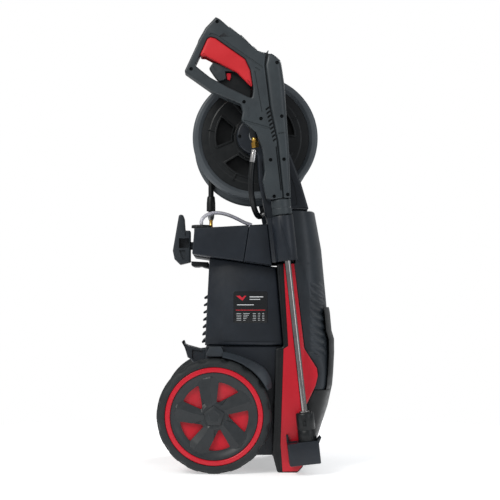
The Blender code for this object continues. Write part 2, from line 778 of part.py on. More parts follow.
def make_crank(axis, finish):
    start = ARM_OUT + 0.001 + GAP
    end = start + 0.010
    turn = math.radians(CRANK_ANGLE)
    tip = (CRANK_RADIUS * math.cos(turn), CRANK_RADIUS * math.sin(turn))
    outline = arc((0, 0), 0.020, CRANK_ANGLE + 100, CRANK_ANGLE + 260, 10)
    outline += arc(tip, 0.012, CRANK_ANGLE - 90, CRANK_ANGLE + 90, 8)
    bore = circle((0, 0), REEL_AXLE_R + RUN, 24)
    arm = plate("crank_arm", outline, start, end, finish, axis, [bore])
    soften(arm, 0.002, 1)
    place = (tip[0], 0, tip[1])
    pin_end = HALF_WIDTH - 0.006
    pin = rod("crank_pin", "Y", place, 0.004, end - 0.002, pin_end, None, axis, 16, helper=True)
    join(arm, pin)
    knob_axis = frame_empty("crank_knob_axis", (REEL_X + tip[0], 0, REEL_Z + tip[1]))
    bore_r = 0.004 + RUN
    knob = [
        (bore_r, end + GAP), (CRANK_KNOB_R - 0.003, end + GAP), (CRANK_KNOB_R, end + 0.012),
        (CRANK_KNOB_R, pin_end), (CRANK_KNOB_R - 0.004, HALF_WIDTH), (0, HALF_WIDTH),
        (0, HALF_WIDTH - 0.0055), (bore_r, HALF_WIDTH - 0.0055),
    ]  # fmt: skip
    turned("crank_knob", knob, "Y", (0, 0, 0), finish, knob_axis, 24)


# Gun, in its own frame


GUN_OUTLINE = mm(
    (-18, 31.5), (-26, 34.5), (-31, 70), (-24, 85), (-24.5, 129), (-32.5, 160), (-58, 186),
    (-52.5, 201), (-54.5, 215), (-104, 243), (-154, 287), (-123.5, 337.5), (-121, 344), (-105, 366),
    (-83.5, 384), (-75.5, 378.5), (-62, 362.5), (-60, 363), (-41.5, 345), (-40, 345.5), (-20.5, 321),
    (-19, 321), (-12, 312.5), (-5, 309), (2.5, 306.8), (8.5, 311.5), (5.8, 304.5), (-2.8, 282.6),
    (-2.0, 203), (4.5, 140), (4, 48), (4, 31.5),
)  # fmt: skip
BARREL_OUTLINE = mm(
    (6.6, 304.0), (15.4, 303), (29, 290.4), (30.8, 245), (28.8, 196), (25.6, 123), (19.5, 39),
    (19.5, 31.5), (4.6, 31.5), (4.6, 48), (5.1, 140), (-1.4, 203), (-2.2, 282.6),
)  # fmt: skip
GUARD_HOLE = mm(
    (-132.3, 297), (-122.2, 313.5), (-104.5, 343.5), (-98, 346.5), (-88.3, 342.8), (-37.5, 297.8),
    (-30.3, 276.5), (-29.0, 240.7), (-33, 222.8), (-75.4, 249.2), (-106.8, 271.5),
)  # fmt: skip
INSERT_OUTLINE = mm(
    (-121.6, 313.2), (-104.1, 342.9), (-97.9, 345.8), (-88.6, 342.2), (-38.0, 297.4),
    (-30.9, 276.3), (-29.6, 241.5), (-42.4, 257.6), (-55.6, 274.3), (-110.9, 311.5),
)  # fmt: skip
TRIGGER_SLOT = mm(
    (-126, 300), (-110, 322), (-94, 328), (-46, 293), (-20, 284), (-6, 265), (-13, 246), (-30, 236),
    (-60, 250), (-110, 255),
)  # fmt: skip


def gun_bores(gun):
    """Cutters for what lies between the two gun halves: lance, valve and trigger slot."""
    end = LANCE_IN_GUN + 0.004
    lance = rod("gun_lance_bore", "Z", (0, 0, 0), LANCE_R + GAP, 0.02, end, None, gun, helper=True)
    grow = GAP + 0.0001
    valve = [(r + grow if r else 0, h) for r, h in valve_profile(grow)]
    place = (INLET_ACROSS, 0, 0)
    chamber = turned("gun_valve_chamber", valve, "Z", place, None, gun, 24, helper=True)
    slot = plate("gun_trigger_slot", TRIGGER_SLOT, -SLOT_HALF, SLOT_HALF, parent=gun, helper=True)
    return lance, chamber, slot


def valve_profile(grow=0.0):
    return [
        (0, 0.1525 - 10 * grow), (0.0045, 0.1525 - 10 * grow), (0.0045, 0.172 - grow),
        (0.0085, 0.172 - grow), (0.0085, 0.200 + grow), (0, 0.200 + grow),
    ]  # fmt: skip


def make_gun(grey, red, black, brass, chrome):
    gun = frame_empty("gun_frame", (MUZZLE[0], GUN_Y, MUZZLE[1]), -GUN_LEAN)
    lance, chamber, slot = gun_bores(gun)
    for name, side in WHEEL_SIDES.items():
        half = plate(
            f"gun_half_{name}", GUN_OUTLINE, *paired(side, GAP / 2, GUN_HALF), grey, gun, [GUARD_HOLE]
        )
        soften_outer(half, side, 0.004)
        cut(half, lance, chamber, slot)
    cover = plate("barrel_cover", BARREL_OUTLINE, 0.0005 - GUN_HALF, GUN_HALF - 0.0005, grey, gun)
    cut(soften(cover, 0.004, 2), lance)
    insert = plate("grip_insert", INSERT_OUTLINE, -INSERT_HALF, INSERT_HALF, red, gun)
    cut(soften(insert, 0.003, 2), slot)
    make_trigger(gun, grey, red)
    turned("gun_valve", valve_profile(), "Z", (INLET_ACROSS, 0, 0), brass, gun, 24)
    nipple = [
        (0, 0.1330), (0.0075, 0.1330), (0.0075, 0.1430), (0.0062, 0.1445), (0.0062, 0.1512),
        (0, 0.1512),
    ]  # fmt: skip
    turned("inlet_nipple", nipple, "Z", (INLET_ACROSS, 0, 0), brass, gun, 24)
    collar = [
        (LANCE_R + GAP, 0.0008), (0.0185, 0.0008), (0.0185, COLLAR_LENGTH),
        (LANCE_R + GAP, COLLAR_LENGTH),
    ]  # fmt: skip
    turned("muzzle_collar", collar, "Z", (0, 0, 0), grey, gun, 28)
    rod("lance_tube", "Z", (0, 0, 0), LANCE_R, -LANCE_LENGTH, LANCE_IN_GUN, chrome, gun, 24)
    make_nozzle(gun, black, brass)
    return gun


def soften_outer(half, side, width):
    """Rounds only the outer rim of a gun half, so that the two halves meet on a flat face."""
    group = half.vertex_groups.new(name="outer")
    outer = [v.index for v in half.data.vertices if side * v.co.y > GUN_HALF / 2]
    group.add(outer, 1.0, "REPLACE")
    made = half.modifiers.new("Bevel", "BEVEL")
    made.width = width
    made.segments = 1
    made.limit_method = "VGROUP"
    made.vertex_group = "outer"


def make_trigger(gun, grey, red):
    """The trigger, on its pivot between the halves, and the safety catch on the trigger."""
    pivot = frame_empty("trigger_axis", (TRIGGER_PIVOT[0], 0, TRIGGER_PIVOT[1]))
    pivot.parent = gun
    px, pz = TRIGGER_PIVOT
    shape = mm(
        (-98, 300), (-106.5, 290), (-91, 262.5), (-77, 266.5), (-77, 281), (-60, 278), (-45, 263.5),
        (-26, 252),
    )  # fmt: skip
    shape += arc(TRIGGER_PIVOT, 0.008, 250, 420, 8)
    shape += mm((-50, 285), (-78, 292))
    outline = [(x - px, z - pz) for x, z in shape]
    soften(plate("trigger", outline, -TRIGGER_HALF, TRIGGER_HALF, grey, pivot), 0.0015, 1)
    hinge = frame_empty("catch_axis", (CATCH_PIVOT[0], 0, CATCH_PIVOT[1]))
    hinge.parent = gun
    catch = mm((-5, 4), (4, 3), (3, -4), (0, -10.5), (-5, -8))
    soften(plate("safety_catch", catch, -0.006, 0.006, red, hinge), 0.0012, 1)


def make_nozzle(gun, black, brass):
    top = -LANCE_LENGTH + NOZZLE_GRIP
    low = top - NOZZLE_LENGTH
    bore = LANCE_R + RUN
    body = [
        (bore, top), (NOZZLE_R - 0.001, top), (NOZZLE_R, top - 0.001), (NOZZLE_R, low + 0.003),
        (NOZZLE_R - 0.003, low), (0.0088, low), (0.0088, low + 0.014), (0, low + 0.014),
        (0, -LANCE_LENGTH - 0.0005), (bore, -LANCE_LENGTH - 0.0005),
    ]  # fmt: skip
    turned("nozzle_body", body, "Z", (0, 0, 0), black, gun, 28)
    tip = [
        (0.0020, low + 0.002), (0.0084, low + 0.002), (0.0084, low + 0.0135), (0, low + 0.0135),
        (0, low + 0.008), (0.0020, low + 0.008),
    ]  # fmt: skip
    turned("nozzle_tip", tip, "Z", (0, 0, 0), brass, gun, 24)


# What holds the gun and the lance, in the gun's frame


def make_socket(gun, finish):
    """A sleeve that the lance and nozzle pass through, on a pad against the neck."""
    back = -ARM_OUT - GAP - GUN_Y
    front = -SHELF_HALF - GUN_Y
    outer = 0.0197
    cover_side = -between(COVER_HALF, 0.3965) - 2 * GAP - GUN_Y
    bore_r = NOZZLE_R + 0.0004
    plan = [(-0.0283, back), (-0.0283, front), (-outer, front)]
    plan += arc((0, 0), outer, 180, 360, 12)
    plan += [(outer, front), (outer, cover_side), (0.0150, cover_side), (0.0150, back)]
    levels = [[(x, y, z) for x, y in plan] for z in (-SOCKET_LENGTH, 0.0)]
    socket = loft("gun_socket", levels, finish, gun)
    low = -SOCKET_LENGTH - 0.02
    bore = rod("socket_bore", "Z", (0, 0, 0), bore_r, low, 0.02, None, gun, 36, helper=True)
    return cut(socket, bore)


def make_cup(gun, finish):
    """The cup that the nozzle stands in, with a lip at the front and an arm at the rear."""
    low = -LANCE_LENGTH + NOZZLE_GRIP - NOZZLE_LENGTH - 0.0140
    top = low + 0.0430
    back = -PANEL_OUT - 0.0012 - GAP - GUN_Y
    front = -HALF_WIDTH - GUN_Y
    cup = block("nozzle_cup", (-0.0385, front, low), (0.0195, back, top), finish, gun)
    soften(cup, 0.002, 1)
    arm_low, arm_high = (-0.0385, back - 0.006, top - 0.004), (-0.0345, back, top + 0.013)
    arm = block("cup_arm", arm_low, arm_high, parent=gun, helper=True)
    lip = plate(
        "cup_lip", mm((17.6, 0), (19.5, 0), (25.5, 9), (24.0, 10), (17.6, 3)), front + 0.004, back - 0.004,
        parent=gun, helper=True,
    )  # fmt: skip
    lip.location.z = top - 0.004
    hollow_low = (-NOZZLE_R - 0.0008, front + 0.0020, low + 0.004)
    hollow_high = (NOZZLE_R + 0.0006, back - 0.0016, top + 0.03)
    hollow = block("cup_hollow", hollow_low, hollow_high, parent=gun, helper=True)
    return cut(join(cup, arm, lip), hollow)


# Hoses and their fittings


def smooth_route(points, spacing):
    """Points a given distance apart on a smooth curve through the route's own points."""
    knots = [Vector(p) for p in points]
    knots = [2 * knots[0] - knots[1], *knots, 2 * knots[-1] - knots[-2]]
    fine = []
    for a, b, c, d in zip(knots, knots[1:], knots[2:], knots[3:]):
        for i in range(24):
            t = i / 24
            fine.append(
                b
                + (c - a) * t / 2
                + (a - 2.5 * b + 2 * c - d / 2) * t * t
                + (1.5 * (b - c) + (d - a) / 2) * t**3
            )
    fine.append(knots[-2])
    length = sum((b - a).length for a, b in zip(fine, fine[1:]))
    count = max(2, round(length / spacing))
    step = length / count
    route, walked, target = [fine[0]], 0.0, step
    for a, b in zip(fine, fine[1:]):
        span = (b - a).length
        while walked + span >= target - 1e-9 and len(route) < count:
            route.append(a.lerp(b, (target - walked) / span))
            target += step
        walked += span
    route.append(fine[-1])
    return route


def hose(name, points, radius, finish):
    route = smooth_route(points, 5 * radius)
    curve = bpy.data.curves.new(name, "CURVE")
    curve.dimensions = "3D"
    spline = curve.splines.new("POLY")
    spline.points.add(len(route) - 1)
    for point, place in zip(spline.points, route):
        point.co = (*place, 1)
    curve.bevel_depth = radius
    curve.bevel_resolution = 2
    curve.use_fill_caps = True
    obj = bpy.data.objects.new(name, curve)
    bpy.context.scene.collection.objects.link(obj)
    curve.materials.append(finish)
    return obj


OUTLET_Y = REEL_HALF - FLANGE_T - RIM_LIP - HOSE_R - 0.0005
OUTLET_X = REEL_X - PACK_R + HOSE_R + 0.0002
GUN_HOSE_ROUTE = [
    (0.0088, GUN_Y, 0.5842), (0.0064, GUN_Y, 0.5640), (0.0056, -0.1640, 0.5420),
    (0.0074, -0.1590, 0.5200), (0.0115, -0.1480, 0.5020), (0.0165, -0.1320, 0.4905),
    (0.0215, -0.1145, 0.4860),
    (0.0268, -0.0965, 0.4885), (0.0325, -0.0825, 0.4985), (0.0395, -0.0755, 0.5155),
    (0.0472, -0.0745, 0.5345), (0.0543, -OUTLET_Y, 0.5502),
]  # fmt: skip
CLEAR_HOSE_R = 0.0035
OUTLET_TOP_Z = 0.5010


def make_hoses(rubber, clear, chrome, brass, cap_top):
    hose("gun_hose", GUN_HOSE_ROUTE, HOSE_R, rubber)
    ferrule = rod("gun_hose_ferrule", "Z", (0, 0, 0), 0.0062, 0, 0.0245, chrome, steps=24)
    ferrule.location = (0.0088, GUN_Y, 0.5845)
    ferrule.rotation_euler.y = math.atan2(0.0038, 0.0245)
    pack_clear = math.sqrt(PACK_R**2 - (PACK_R - 2 * HOSE_R) ** 2) + 0.0008
    tangent_z = REEL_Z - pack_clear
    rise = (tangent_z - OUTLET_TOP_Z) / 4
    run = [(OUTLET_X, OUTLET_Y, OUTLET_TOP_Z + GAP + rise * i) for i in range(4)]
    hose("outlet_hose", [*run, (OUTLET_X, OUTLET_Y, tangent_z)], HOSE_R, rubber)
    seat = shelf_top(OUTLET_X + 0.008) + GAP
    fitting = [
        (0, seat), (0.0080, seat), (0.0080, seat + 0.006), (0.0042, seat + 0.007),
        (0.0042, seat + 0.012), (0.0036, seat + 0.013), (0.0036, seat + 0.026),
        (0.0062, seat + 0.0275), (0.0062, OUTLET_TOP_Z), (0, OUTLET_TOP_Z),
    ]  # fmt: skip
    turned("outlet_fitting", fitting, "Z", (OUTLET_X, OUTLET_Y, 0), brass, steps=20)
    route = [
        (FILLER[0], FILLER[1], cap_top + 0.0012), (FILLER[0], FILLER[1], cap_top + 0.0060),
        (-0.0860, -0.0988, 0.4830), (-0.0790, -0.0964, 0.4893), (-0.0680, -0.0924, 0.4934),
        (-0.0550, -0.0877, 0.4944), (-0.0420, -0.0830, 0.4923),
        (-0.0290, -0.0780, 0.4880), (-0.0160, -0.0725, 0.4823), (-0.0040, -0.0670, 0.4766),
        (0.0085, -0.0610, shelf_top(0.0085) + 0.0045),
    ]  # fmt: skip
    hose("clear_hose", route, CLEAR_HOSE_R, clear)


def main():
    clear_scene()
    body = material("black_abs", "3A4147", 0.45)
    grey = material("grey_nylon", "485055", 0.5)
    red = material("red_abs", "CE2334", 0.35)
    black = material("black_nylon", "25292D", 0.5)
    rubber = material("black_rubber", "202326", 0.7)
    steel = material("steel", "9A9C9E", 0.35, 1.0)
    aluminium = material("cast_aluminium", "A6A9AC", 0.4, 1.0)
    chrome = material("chrome", "C9CCCE", 0.12, 1.0)
    brass = material("brass", "B8923E", 0.3, 1.0)
    clear = material("clear_pvc", "DDE6F0", 0.15)
    make_tub(body)
    make_axle(steel)
    make_side_frames(black)
    make_side_panels(red)
    make_fenders(body)
    make_lower_hook(body)
    make_wheels(rubber, red, black)
    make_housing(body)
    make_motor(steel)
    make_pump(aluminium)
    make_far_fittings(black, brass)
    make_tank(body)
    cap_top = make_cap(black)
    make_shelf_bracket(body)
    make_cord_bar(black)
    make_upper_hook(body)
    make_neck_back(body)
    make_arms(body)
    make_front_cover(body)
    make_lower_cover(black)
    make_reel(black, grey, rubber, steel)
    gun = make_gun(grey, red, black, brass, chrome)
    make_socket(gun, body)
    make_cup(gun, body)
    make_hoses(rubber, clear, chrome, brass, cap_top)


main()
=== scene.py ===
"""The looks of an upright electric pressure washer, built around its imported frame.

Metres, +Z up, +X the machine's front and -Y its gun side, as in the frame. The pieces of the gun
are made in the gun's own frame, where x runs across the barrel and z along it, muzzle at z = 0.
"""

import math

import bmesh
import bpy
from mathutils import Matrix, Vector


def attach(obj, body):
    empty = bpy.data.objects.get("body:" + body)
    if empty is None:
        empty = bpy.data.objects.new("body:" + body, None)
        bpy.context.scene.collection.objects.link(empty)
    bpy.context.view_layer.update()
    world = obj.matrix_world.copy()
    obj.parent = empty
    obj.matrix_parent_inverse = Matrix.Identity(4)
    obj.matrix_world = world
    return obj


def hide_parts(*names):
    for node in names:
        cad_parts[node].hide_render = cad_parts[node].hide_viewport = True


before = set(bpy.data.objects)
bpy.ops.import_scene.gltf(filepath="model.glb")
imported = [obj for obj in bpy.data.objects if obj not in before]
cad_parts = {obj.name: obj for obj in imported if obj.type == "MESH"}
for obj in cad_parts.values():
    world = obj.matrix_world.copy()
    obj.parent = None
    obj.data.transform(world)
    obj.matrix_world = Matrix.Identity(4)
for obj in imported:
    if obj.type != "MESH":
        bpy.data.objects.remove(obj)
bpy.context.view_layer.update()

SIDES = {"near": -1, "far": 1}
GAP = 0.0003

# Wheels
WHEEL = Vector((-0.0636, 0.150, 0.108))
TYRE_R = 0.108
TYRE_HALF = 0.018
RIM_R = 0.0922
COVER_R = 0.0822
LUGS = 16

# Reel
REEL = Vector((0.0155, 0, 0.640))
REEL_R = 0.1212
REEL_HALF = 0.0905
DRUM_R = 0.0815
WOUND_R = 0.0873
WOUND_Y = 0.0752
WOUND_TURNS = 13.61
HOSE_R = 0.0055
ARM_IN = 0.100
ARM_OUT = 0.125

# Gun
LEAN = math.radians(6.3)
GUN_HALF = 0.019
GUN = Matrix.Translation((0.0649, -0.165, 0.4837)) @ Matrix.Rotation(-LEAN, 4, "Y")
LANCE_R = 0.0058
LANCE_LENGTH = 0.400
LANCE_IN_GUN = 0.060
NOZZLE_R = 0.0170
INLET = -0.0365

# Body
TUB_HALF = 0.112
HOUSING_HALF = 0.118
SHELF_HALF = 0.140
FRAME_IN = 0.1125
FRAME_OUT = 0.1385
PANEL_OUT = 0.1425


# Outlines, profiles and meshes


def mm(*points):
    return [(across / 1000, up / 1000) for across, up in points]


def arc(centre, radius, start, end, steps):
    """Points on an arc, its angles in degrees, both ends included."""
    turns = [math.radians(start + (end - start) * i / steps) for i in range(steps + 1)]
    return [(centre[0] + radius * math.cos(a), centre[1] + radius * math.sin(a)) for a in turns]


def smooth_step(low, high, value):
    t = max(0.0, min(1.0, (value - low) / (high - low)))
    return t * t * (3 - 2 * t)


def fillet(points, radius, steps=4, closed=True, on_axis=False):
    """The same outline with each corner rounded as far as its two sides allow."""
    if not radius:
        return list(points)
    rounded = []
    count = len(points)
    for i, point in enumerate(points):
        if (not closed and i in (0, count - 1)) or (on_axis and abs(point[0]) < 1e-7):
            rounded.append(tuple(point))
            continue
        here, before, after = Vector(point), Vector(points[i - 1]), Vector(points[(i + 1) % count])
        to_before, to_after = before - here, after - here
        if min(to_before.length, to_after.length) < 1e-6:
            continue
        half = to_before.angle(to_after) / 2
        reach = min(radius / math.tan(half), 0.48 * to_before.length, 0.48 * to_after.length)
        if half > math.radians(87) or reach < 1e-5:
            rounded.append(tuple(point))
            continue
        start = here + to_before.normalized() * reach
        end = here + to_after.normalized() * reach
        for k in range(steps + 1):
            t = k / steps
            rounded.append(tuple((1 - t) ** 2 * start + 2 * t * (1 - t) * here + t * t * end))
    return rounded


def flat_fill(bm, loops):
    pairs = [(loop[i - 1], loop[i]) for loop in loops for i in range(len(loop))]
    edges = [bm.edges.get(pair) or bm.edges.new(pair) for pair in pairs]
    return bmesh.ops.triangle_fill(bm, edges=edges, use_beauty=True)


def plate(outline, low, high, edge=0.0, corner=0.0, holes=(), ends="both", steps=3):
    """An outline in XZ with holes, extruded along Y. The rims of the chosen ends are rounded."""
    bm = bmesh.new()
    loops = []
    for loop in [outline, *holes]:
        loops.append([bm.verts.new((x, low, z)) for x, z in fillet(loop, corner)])
    flat_fill(bm, loops)
    raised = bmesh.ops.extrude_face_region(bm, geom=bm.faces[:])["geom"]
    moved = [v for v in raised if isinstance(v, bmesh.types.BMVert)]
    bmesh.ops.translate(bm, vec=(0, high - low, 0), verts=moved)
    bmesh.ops.recalc_face_normals(bm, faces=bm.faces[:])
    if edge:
        wanted = {"both": (low, high), "low": (low,), "high": (high,)}[ends]
        rims = []
        for e in bm.edges:
            level = {round(v.co.y, 6) for v in e.verts}
            flat = len(level) == 1 and any(abs(level.copy().pop() - w) < 1e-5 for w in wanted)
            if flat and e.calc_face_angle(0) > math.radians(60):
                rims.append(e)
        bmesh.ops.bevel(
            bm, geom=rims, offset=edge, offset_type="OFFSET", segments=steps, profile=0.5,
            affect="EDGES", clamp_overlap=False,
        )  # fmt: skip
    return bm


def box(low, high, edge=0.0, corner=0.0, steps=3):
    outline = [(low[0], low[2]), (high[0], low[2]), (high[0], high[2]), (low[0], high[2])]
    return plate(outline, low[1], high[1], edge, corner, steps=steps)


PLACE = {
    "X": lambda r, h, a: (h, r * math.cos(a), r * math.sin(a)),
    "Y": lambda r, h, a: (r * math.cos(a), h, r * math.sin(a)),
    "Z": lambda r, h, a: (r * math.cos(a), r * math.sin(a), h),
}


def lathe(profile, axis, centre=(0, 0, 0), steps=96, corner=0.0, ripple=None):
    """A closed profile of (radius, height) turned about an axis. ripple may change a radius."""
    bm = bmesh.new()
    origin = Vector(centre)
    outline = fillet(profile, corner, 3, on_axis=True)
    rings = []
    for r, h in outline:
        if r < 1e-7:
            rings.append([bm.verts.new(origin + Vector(PLACE[axis](0, h, 0)))])
            continue
        ring = []
        for i in range(steps):
            a = math.tau * i / steps
            radius = ripple(r, h, a) if ripple else r
            ring.append(bm.verts.new(origin + Vector(PLACE[axis](radius, h, a))))
        rings.append(ring)
    for k, ring in enumerate(rings):
        last = rings[k - 1]
        if len(ring) == 1 and len(last) == 1:
            continue
        for i in range(steps):
            if len(last) == 1:
                bm.faces.new((last[0], ring[i], ring[i - 1]))
            elif len(ring) == 1:
                bm.faces.new((last[i - 1], last[i], ring[0]))
            else:
                bm.faces.new((last[i - 1], last[i], ring[i], ring[i - 1]))
    return bm


def loft(sections, cap=True):
    """Closed loops of equal length joined one to the next."""
    bm = bmesh.new()
    rings = [[bm.verts.new(point) for point in loop] for loop in sections]
    for ring_a, ring_b in zip(rings, rings[1:]):
        for i in range(len(ring_a)):
            bm.faces.new((ring_a[i - 1], ring_a[i], ring_b[i], ring_b[i - 1]))
    if cap:
        for ring in (rings[0], rings[-1]):
            edges = [bm.edges.get((ring[i - 1], ring[i])) for i in range(len(ring))]
            bmesh.ops.triangle_fill(bm, edges=edges, use_beauty=True)
    return bm


def merged(*meshes):
    """Several closed meshes as one, without cutting them."""
    bm = bmesh.new()
    for other in meshes:
        held = bpy.data.meshes.new("held")
        other.to_mesh(held)
        other.free()
        bm.from_mesh(held)
        bpy.data.meshes.remove(held)
    return bm


def moved(bm, offset=(0, 0, 0), turn=0.0, axis="Y"):
    bm.transform(Matrix.Translation(offset) @ Matrix.Rotation(turn, 4, axis))
    return bm


def raw_object(name, bm):
    bmesh.ops.remove_doubles(bm, verts=bm.verts[:], dist=1e-6)
    bmesh.ops.recalc_face_normals(bm, faces=bm.faces[:])
    mesh = bpy.data.meshes.new(name)
    bm.to_mesh(mesh)
    bm.free()
    obj = bpy.data.objects.new(name, mesh)
    bpy.context.scene.collection.objects.link(obj)
    return obj


def settle(obj):
    """Keeps what the object's modifiers make, and drops the modifiers."""
    graph = bpy.context.evaluated_depsgraph_get()
    mesh = bpy.data.meshes.new_from_object(obj.evaluated_get(graph), depsgraph=graph)
    obj.modifiers.clear()
    old, obj.data = obj.data, mesh
    bpy.data.meshes.remove(old)


# A small mesh that takes many cuts gathers overlaps, which the exact solver is asked to clear.
MANY_CUTTERS = 12
SMALL_MESH = 3000


def carve(obj, cutters, operation="DIFFERENCE"):
    """Cuts or joins one mesh at a time, and goes on to the next solver where one loses the piece."""
    many = len(cutters) > MANY_CUTTERS
    for bm in cutters:
        other = raw_object("cutter", bm)
        kept = obj.data.copy()
        for solver in ("EXACT", "MANIFOLD", "FLOAT"):
            made = obj.modifiers.new("Boolean", "BOOLEAN")
            made.operation = operation
            made.object = other
            made.solver = solver
            made.use_self = solver == "EXACT" and many and len(kept.vertices) < SMALL_MESH
            settle(obj)
            if len(obj.data.polygons) > 0.5 * len(kept.polygons):
                break
            obj.data = kept.copy()
        else:
            raise RuntimeError(f"{obj.name} was lost to a cut")
        bpy.data.meshes.remove(kept)
        bpy.data.objects.remove(other)


def piece(
    name, bm, finish, body="machine", nodes=(), place=None, cut=(), join=(), edge=0.0,
    angle=32,
):  # fmt: skip
    """A finished piece that rides on a body, and that stands for the CAD nodes it is named for."""
    obj = raw_object(name, bm)
    if join:
        carve(obj, join, "UNION")
    if cut:
        carve(obj, cut)
    if place is not None:
        obj.data.transform(place)
        if place.determinant() < 0:
            obj.data.flip_normals()
    if edge:
        made = obj.modifiers.new("Bevel", "BEVEL")
        made.width = edge
        made.segments = 2
        made.limit_method = "ANGLE"
        made.angle_limit = math.radians(38)
        settle(obj)
    obj.data.materials.clear()
    obj.data.materials.append(finish)
    obj.data.shade_smooth()
    obj.data.set_sharp_from_angle(angle=math.radians(angle))
    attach(obj, body)
    if nodes:
        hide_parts(*nodes)
    return obj


# Finishes


def colour(code):
    """An sRGB hex colour as linear values."""
    channels = [int(code[i : i + 2], 16) / 255 for i in (0, 2, 4)]
    flat = [c / 12.92 if c <= 0.04045 else ((c + 0.055) / 1.055) ** 2.4 for c in channels]
    return (*flat, 1.0)


def per_mm(size):
    """The texture scale that gives a pattern this many millimetres across."""
    return 1000 / size


def add(tree, kind, settings=None, inputs=None):
    """One shader node. An input is a value, a node whose first output feeds it, or (node, output)."""
    made = tree.nodes.new("ShaderNode" + kind)
    for key, value in (settings or {}).items():
        setattr(made, key, value)
    for key, value in (inputs or {}).items():
        socket = made.inputs[key]
        if isinstance(value, bpy.types.Node):
            tree.links.new(value.outputs[0], socket)
        elif isinstance(value, tuple) and isinstance(value[0], bpy.types.Node):
            tree.links.new(value[0].outputs[value[1]], socket)
        else:
            socket.default_value = value
    return made


def new_finish(name):
    made = bpy.data.materials.new(name)
    made.use_nodes = True
    tree = made.node_tree
    tree.nodes.clear()
    where = add(tree, "TexCoord")
    return made, tree, (where, "Object")


def close_finish(tree, settings):
    shader = add(tree, "BsdfPrincipled", None, settings)
    add(tree, "OutputMaterial", None, {"Surface": shader})


def blended(tree, low, high, mask, near=0.35, far=0.65):
    """A colour ramp between two sRGB codes, driven by a mask."""
    ramp = add(tree, "ValToRGB", None, {0: mask})
    ramp.color_ramp.elements[0].position = near
    ramp.color_ramp.elements[1].position = far
    ramp.color_ramp.elements[0].color = colour(low)
    ramp.color_ramp.elements[1].color = colour(high)
    return ramp


def moulded(name, low, high, roughness, spread, grain, depth, spec=0.5, coat=0.0):
    """An injection-moulded plastic: fine tool texture, and broad faint flow and handling marks."""
    made, tree, where = new_finish(name)
    flow = add(tree, "TexNoise", None, {"Vector": where, "Scale": per_mm(55), "Detail": 3.0})
    wear = add(tree, "TexNoise", None, {"Vector": where, "Scale": per_mm(9), "Detail": 6.0})
    fine = add(tree, "TexNoise", None, {"Vector": where, "Scale": per_mm(grain), "Detail": 2.0})
    rough = add(
        tree, "MapRange", None,
        {"Value": wear, "From Min": 0.3, "From Max": 0.7, "To Min": roughness - spread,
         "To Max": roughness + spread},
    )  # fmt: skip
    bump = add(tree, "Bump", None, {"Height": fine, "Strength": 0.5, "Distance": depth / 1000})
    close_finish(tree, {
        "Base Color": blended(tree, low, high, flow), "Roughness": (rough, "Result"), "Normal": bump,
        "Specular IOR Level": spec, "Coat Weight": coat, "Coat Roughness": 0.25,
    })  # fmt: skip
    return made


def plated(name, low, high, roughness, spread, streak, depth, stretch=(1, 1, 1)):
    """A metal surface with tool or polishing marks drawn out along one way."""
    made, tree, where = new_finish(name)
    pulled = add(tree, "Mapping", None, {"Vector": where, "Scale": stretch})
    lines = add(tree, "TexNoise", None, {"Vector": pulled, "Scale": per_mm(streak), "Detail": 4.0})
    haze = add(tree, "TexNoise", None, {"Vector": where, "Scale": per_mm(14), "Detail": 3.0})
    rough = add(
        tree, "MapRange", None,
        {"Value": haze, "From Min": 0.3, "From Max": 0.7, "To Min": roughness - spread,
         "To Max": roughness + spread},
    )  # fmt: skip
    bump = add(tree, "Bump", None, {"Height": lines, "Strength": 0.4, "Distance": depth / 1000})
    close_finish(tree, {
        "Base Color": blended(tree, low, high, haze), "Metallic": 1.0,
        "Roughness": (rough, "Result"), "Normal": bump,
    })  # fmt: skip
    return made


# Glass-filled nylon of the gun and the reel, spark-eroded tool: an even grey with a dry sheen.
grey_nylon = moulded("glass_filled_nylon_grey", "2C3236", "32393D", 0.42, 0.06, 0.7, 0.03, 0.40)
# The same nylon on the rims of the reel, a lighter grey than the gun's: the lighter tone is painted
# highlight, and the rims are a little glossier.
rim_nylon_painted_highlight = moulded("glass_filled_nylon_painted_highlight", "444A4F", "4C5257", 0.33, 0.05, 0.7, 0.04, 0.55)
# ABS of the shelf, housing, arms and covers, finely etched tool: blue-black satin.
satin_abs = moulded("etched_abs_blue_black", "181D24", "1E242C", 0.38, 0.05, 0.5, 0.02, 0.35)
# The same ABS in the lighter batch of the front shell, the fenders and the cord hooks.
shell_abs = moulded("etched_abs_slate", "272C31", "2D3339", 0.40, 0.05, 0.5, 0.02, 0.35)
# Black nylon of the side frames, wheel covers and nozzle, plain tool: deep and slightly shiny.
black_nylon = moulded("moulded_nylon_black", "111416", "171A1C", 0.38, 0.08, 0.6, 0.03, 0.3)
# Wheel cover nylon, sandblasted tool: black-grey that shows its facets.
cover_nylon = moulded("sandblasted_nylon_charcoal", "202427", "272B2E", 0.40, 0.06, 0.6, 0.03, 0.4)
# Self-coloured red ABS from a polished tool: clean red with a soft gloss.
red_abs = moulded("polished_abs_red", "B81425", "BF1A2B", 0.30, 0.015, 3.0, 0.002, 0.35)
# Soft-touch elastomer over the grip: the same red, chalkier.
red_elastomer = moulded("soft_touch_elastomer_red", "BE1E26", "C8282F", 0.52, 0.05, 0.8, 0.02, 0.3)
# Tyre rubber, moulded: dark, dusty grey with no gloss.
tyre_rubber = moulded("moulded_tyre_rubber", "1D2022", "262A2C", 0.62, 0.08, 0.9, 0.06, 0.3)
# Hose jacket, extruded rubber: black with a long soft sheen.
hose_rubber = moulded("extruded_rubber_jacket", "0C0E10", "121517", 0.38, 0.08, 0.8, 0.03, 0.35)
# Zinc-plated steel, turned and passivated.
zinc_steel = plated("zinc_plated_steel", "A9ABAC", "BFC1C2", 0.30, 0.06, 0.5, 0.01)
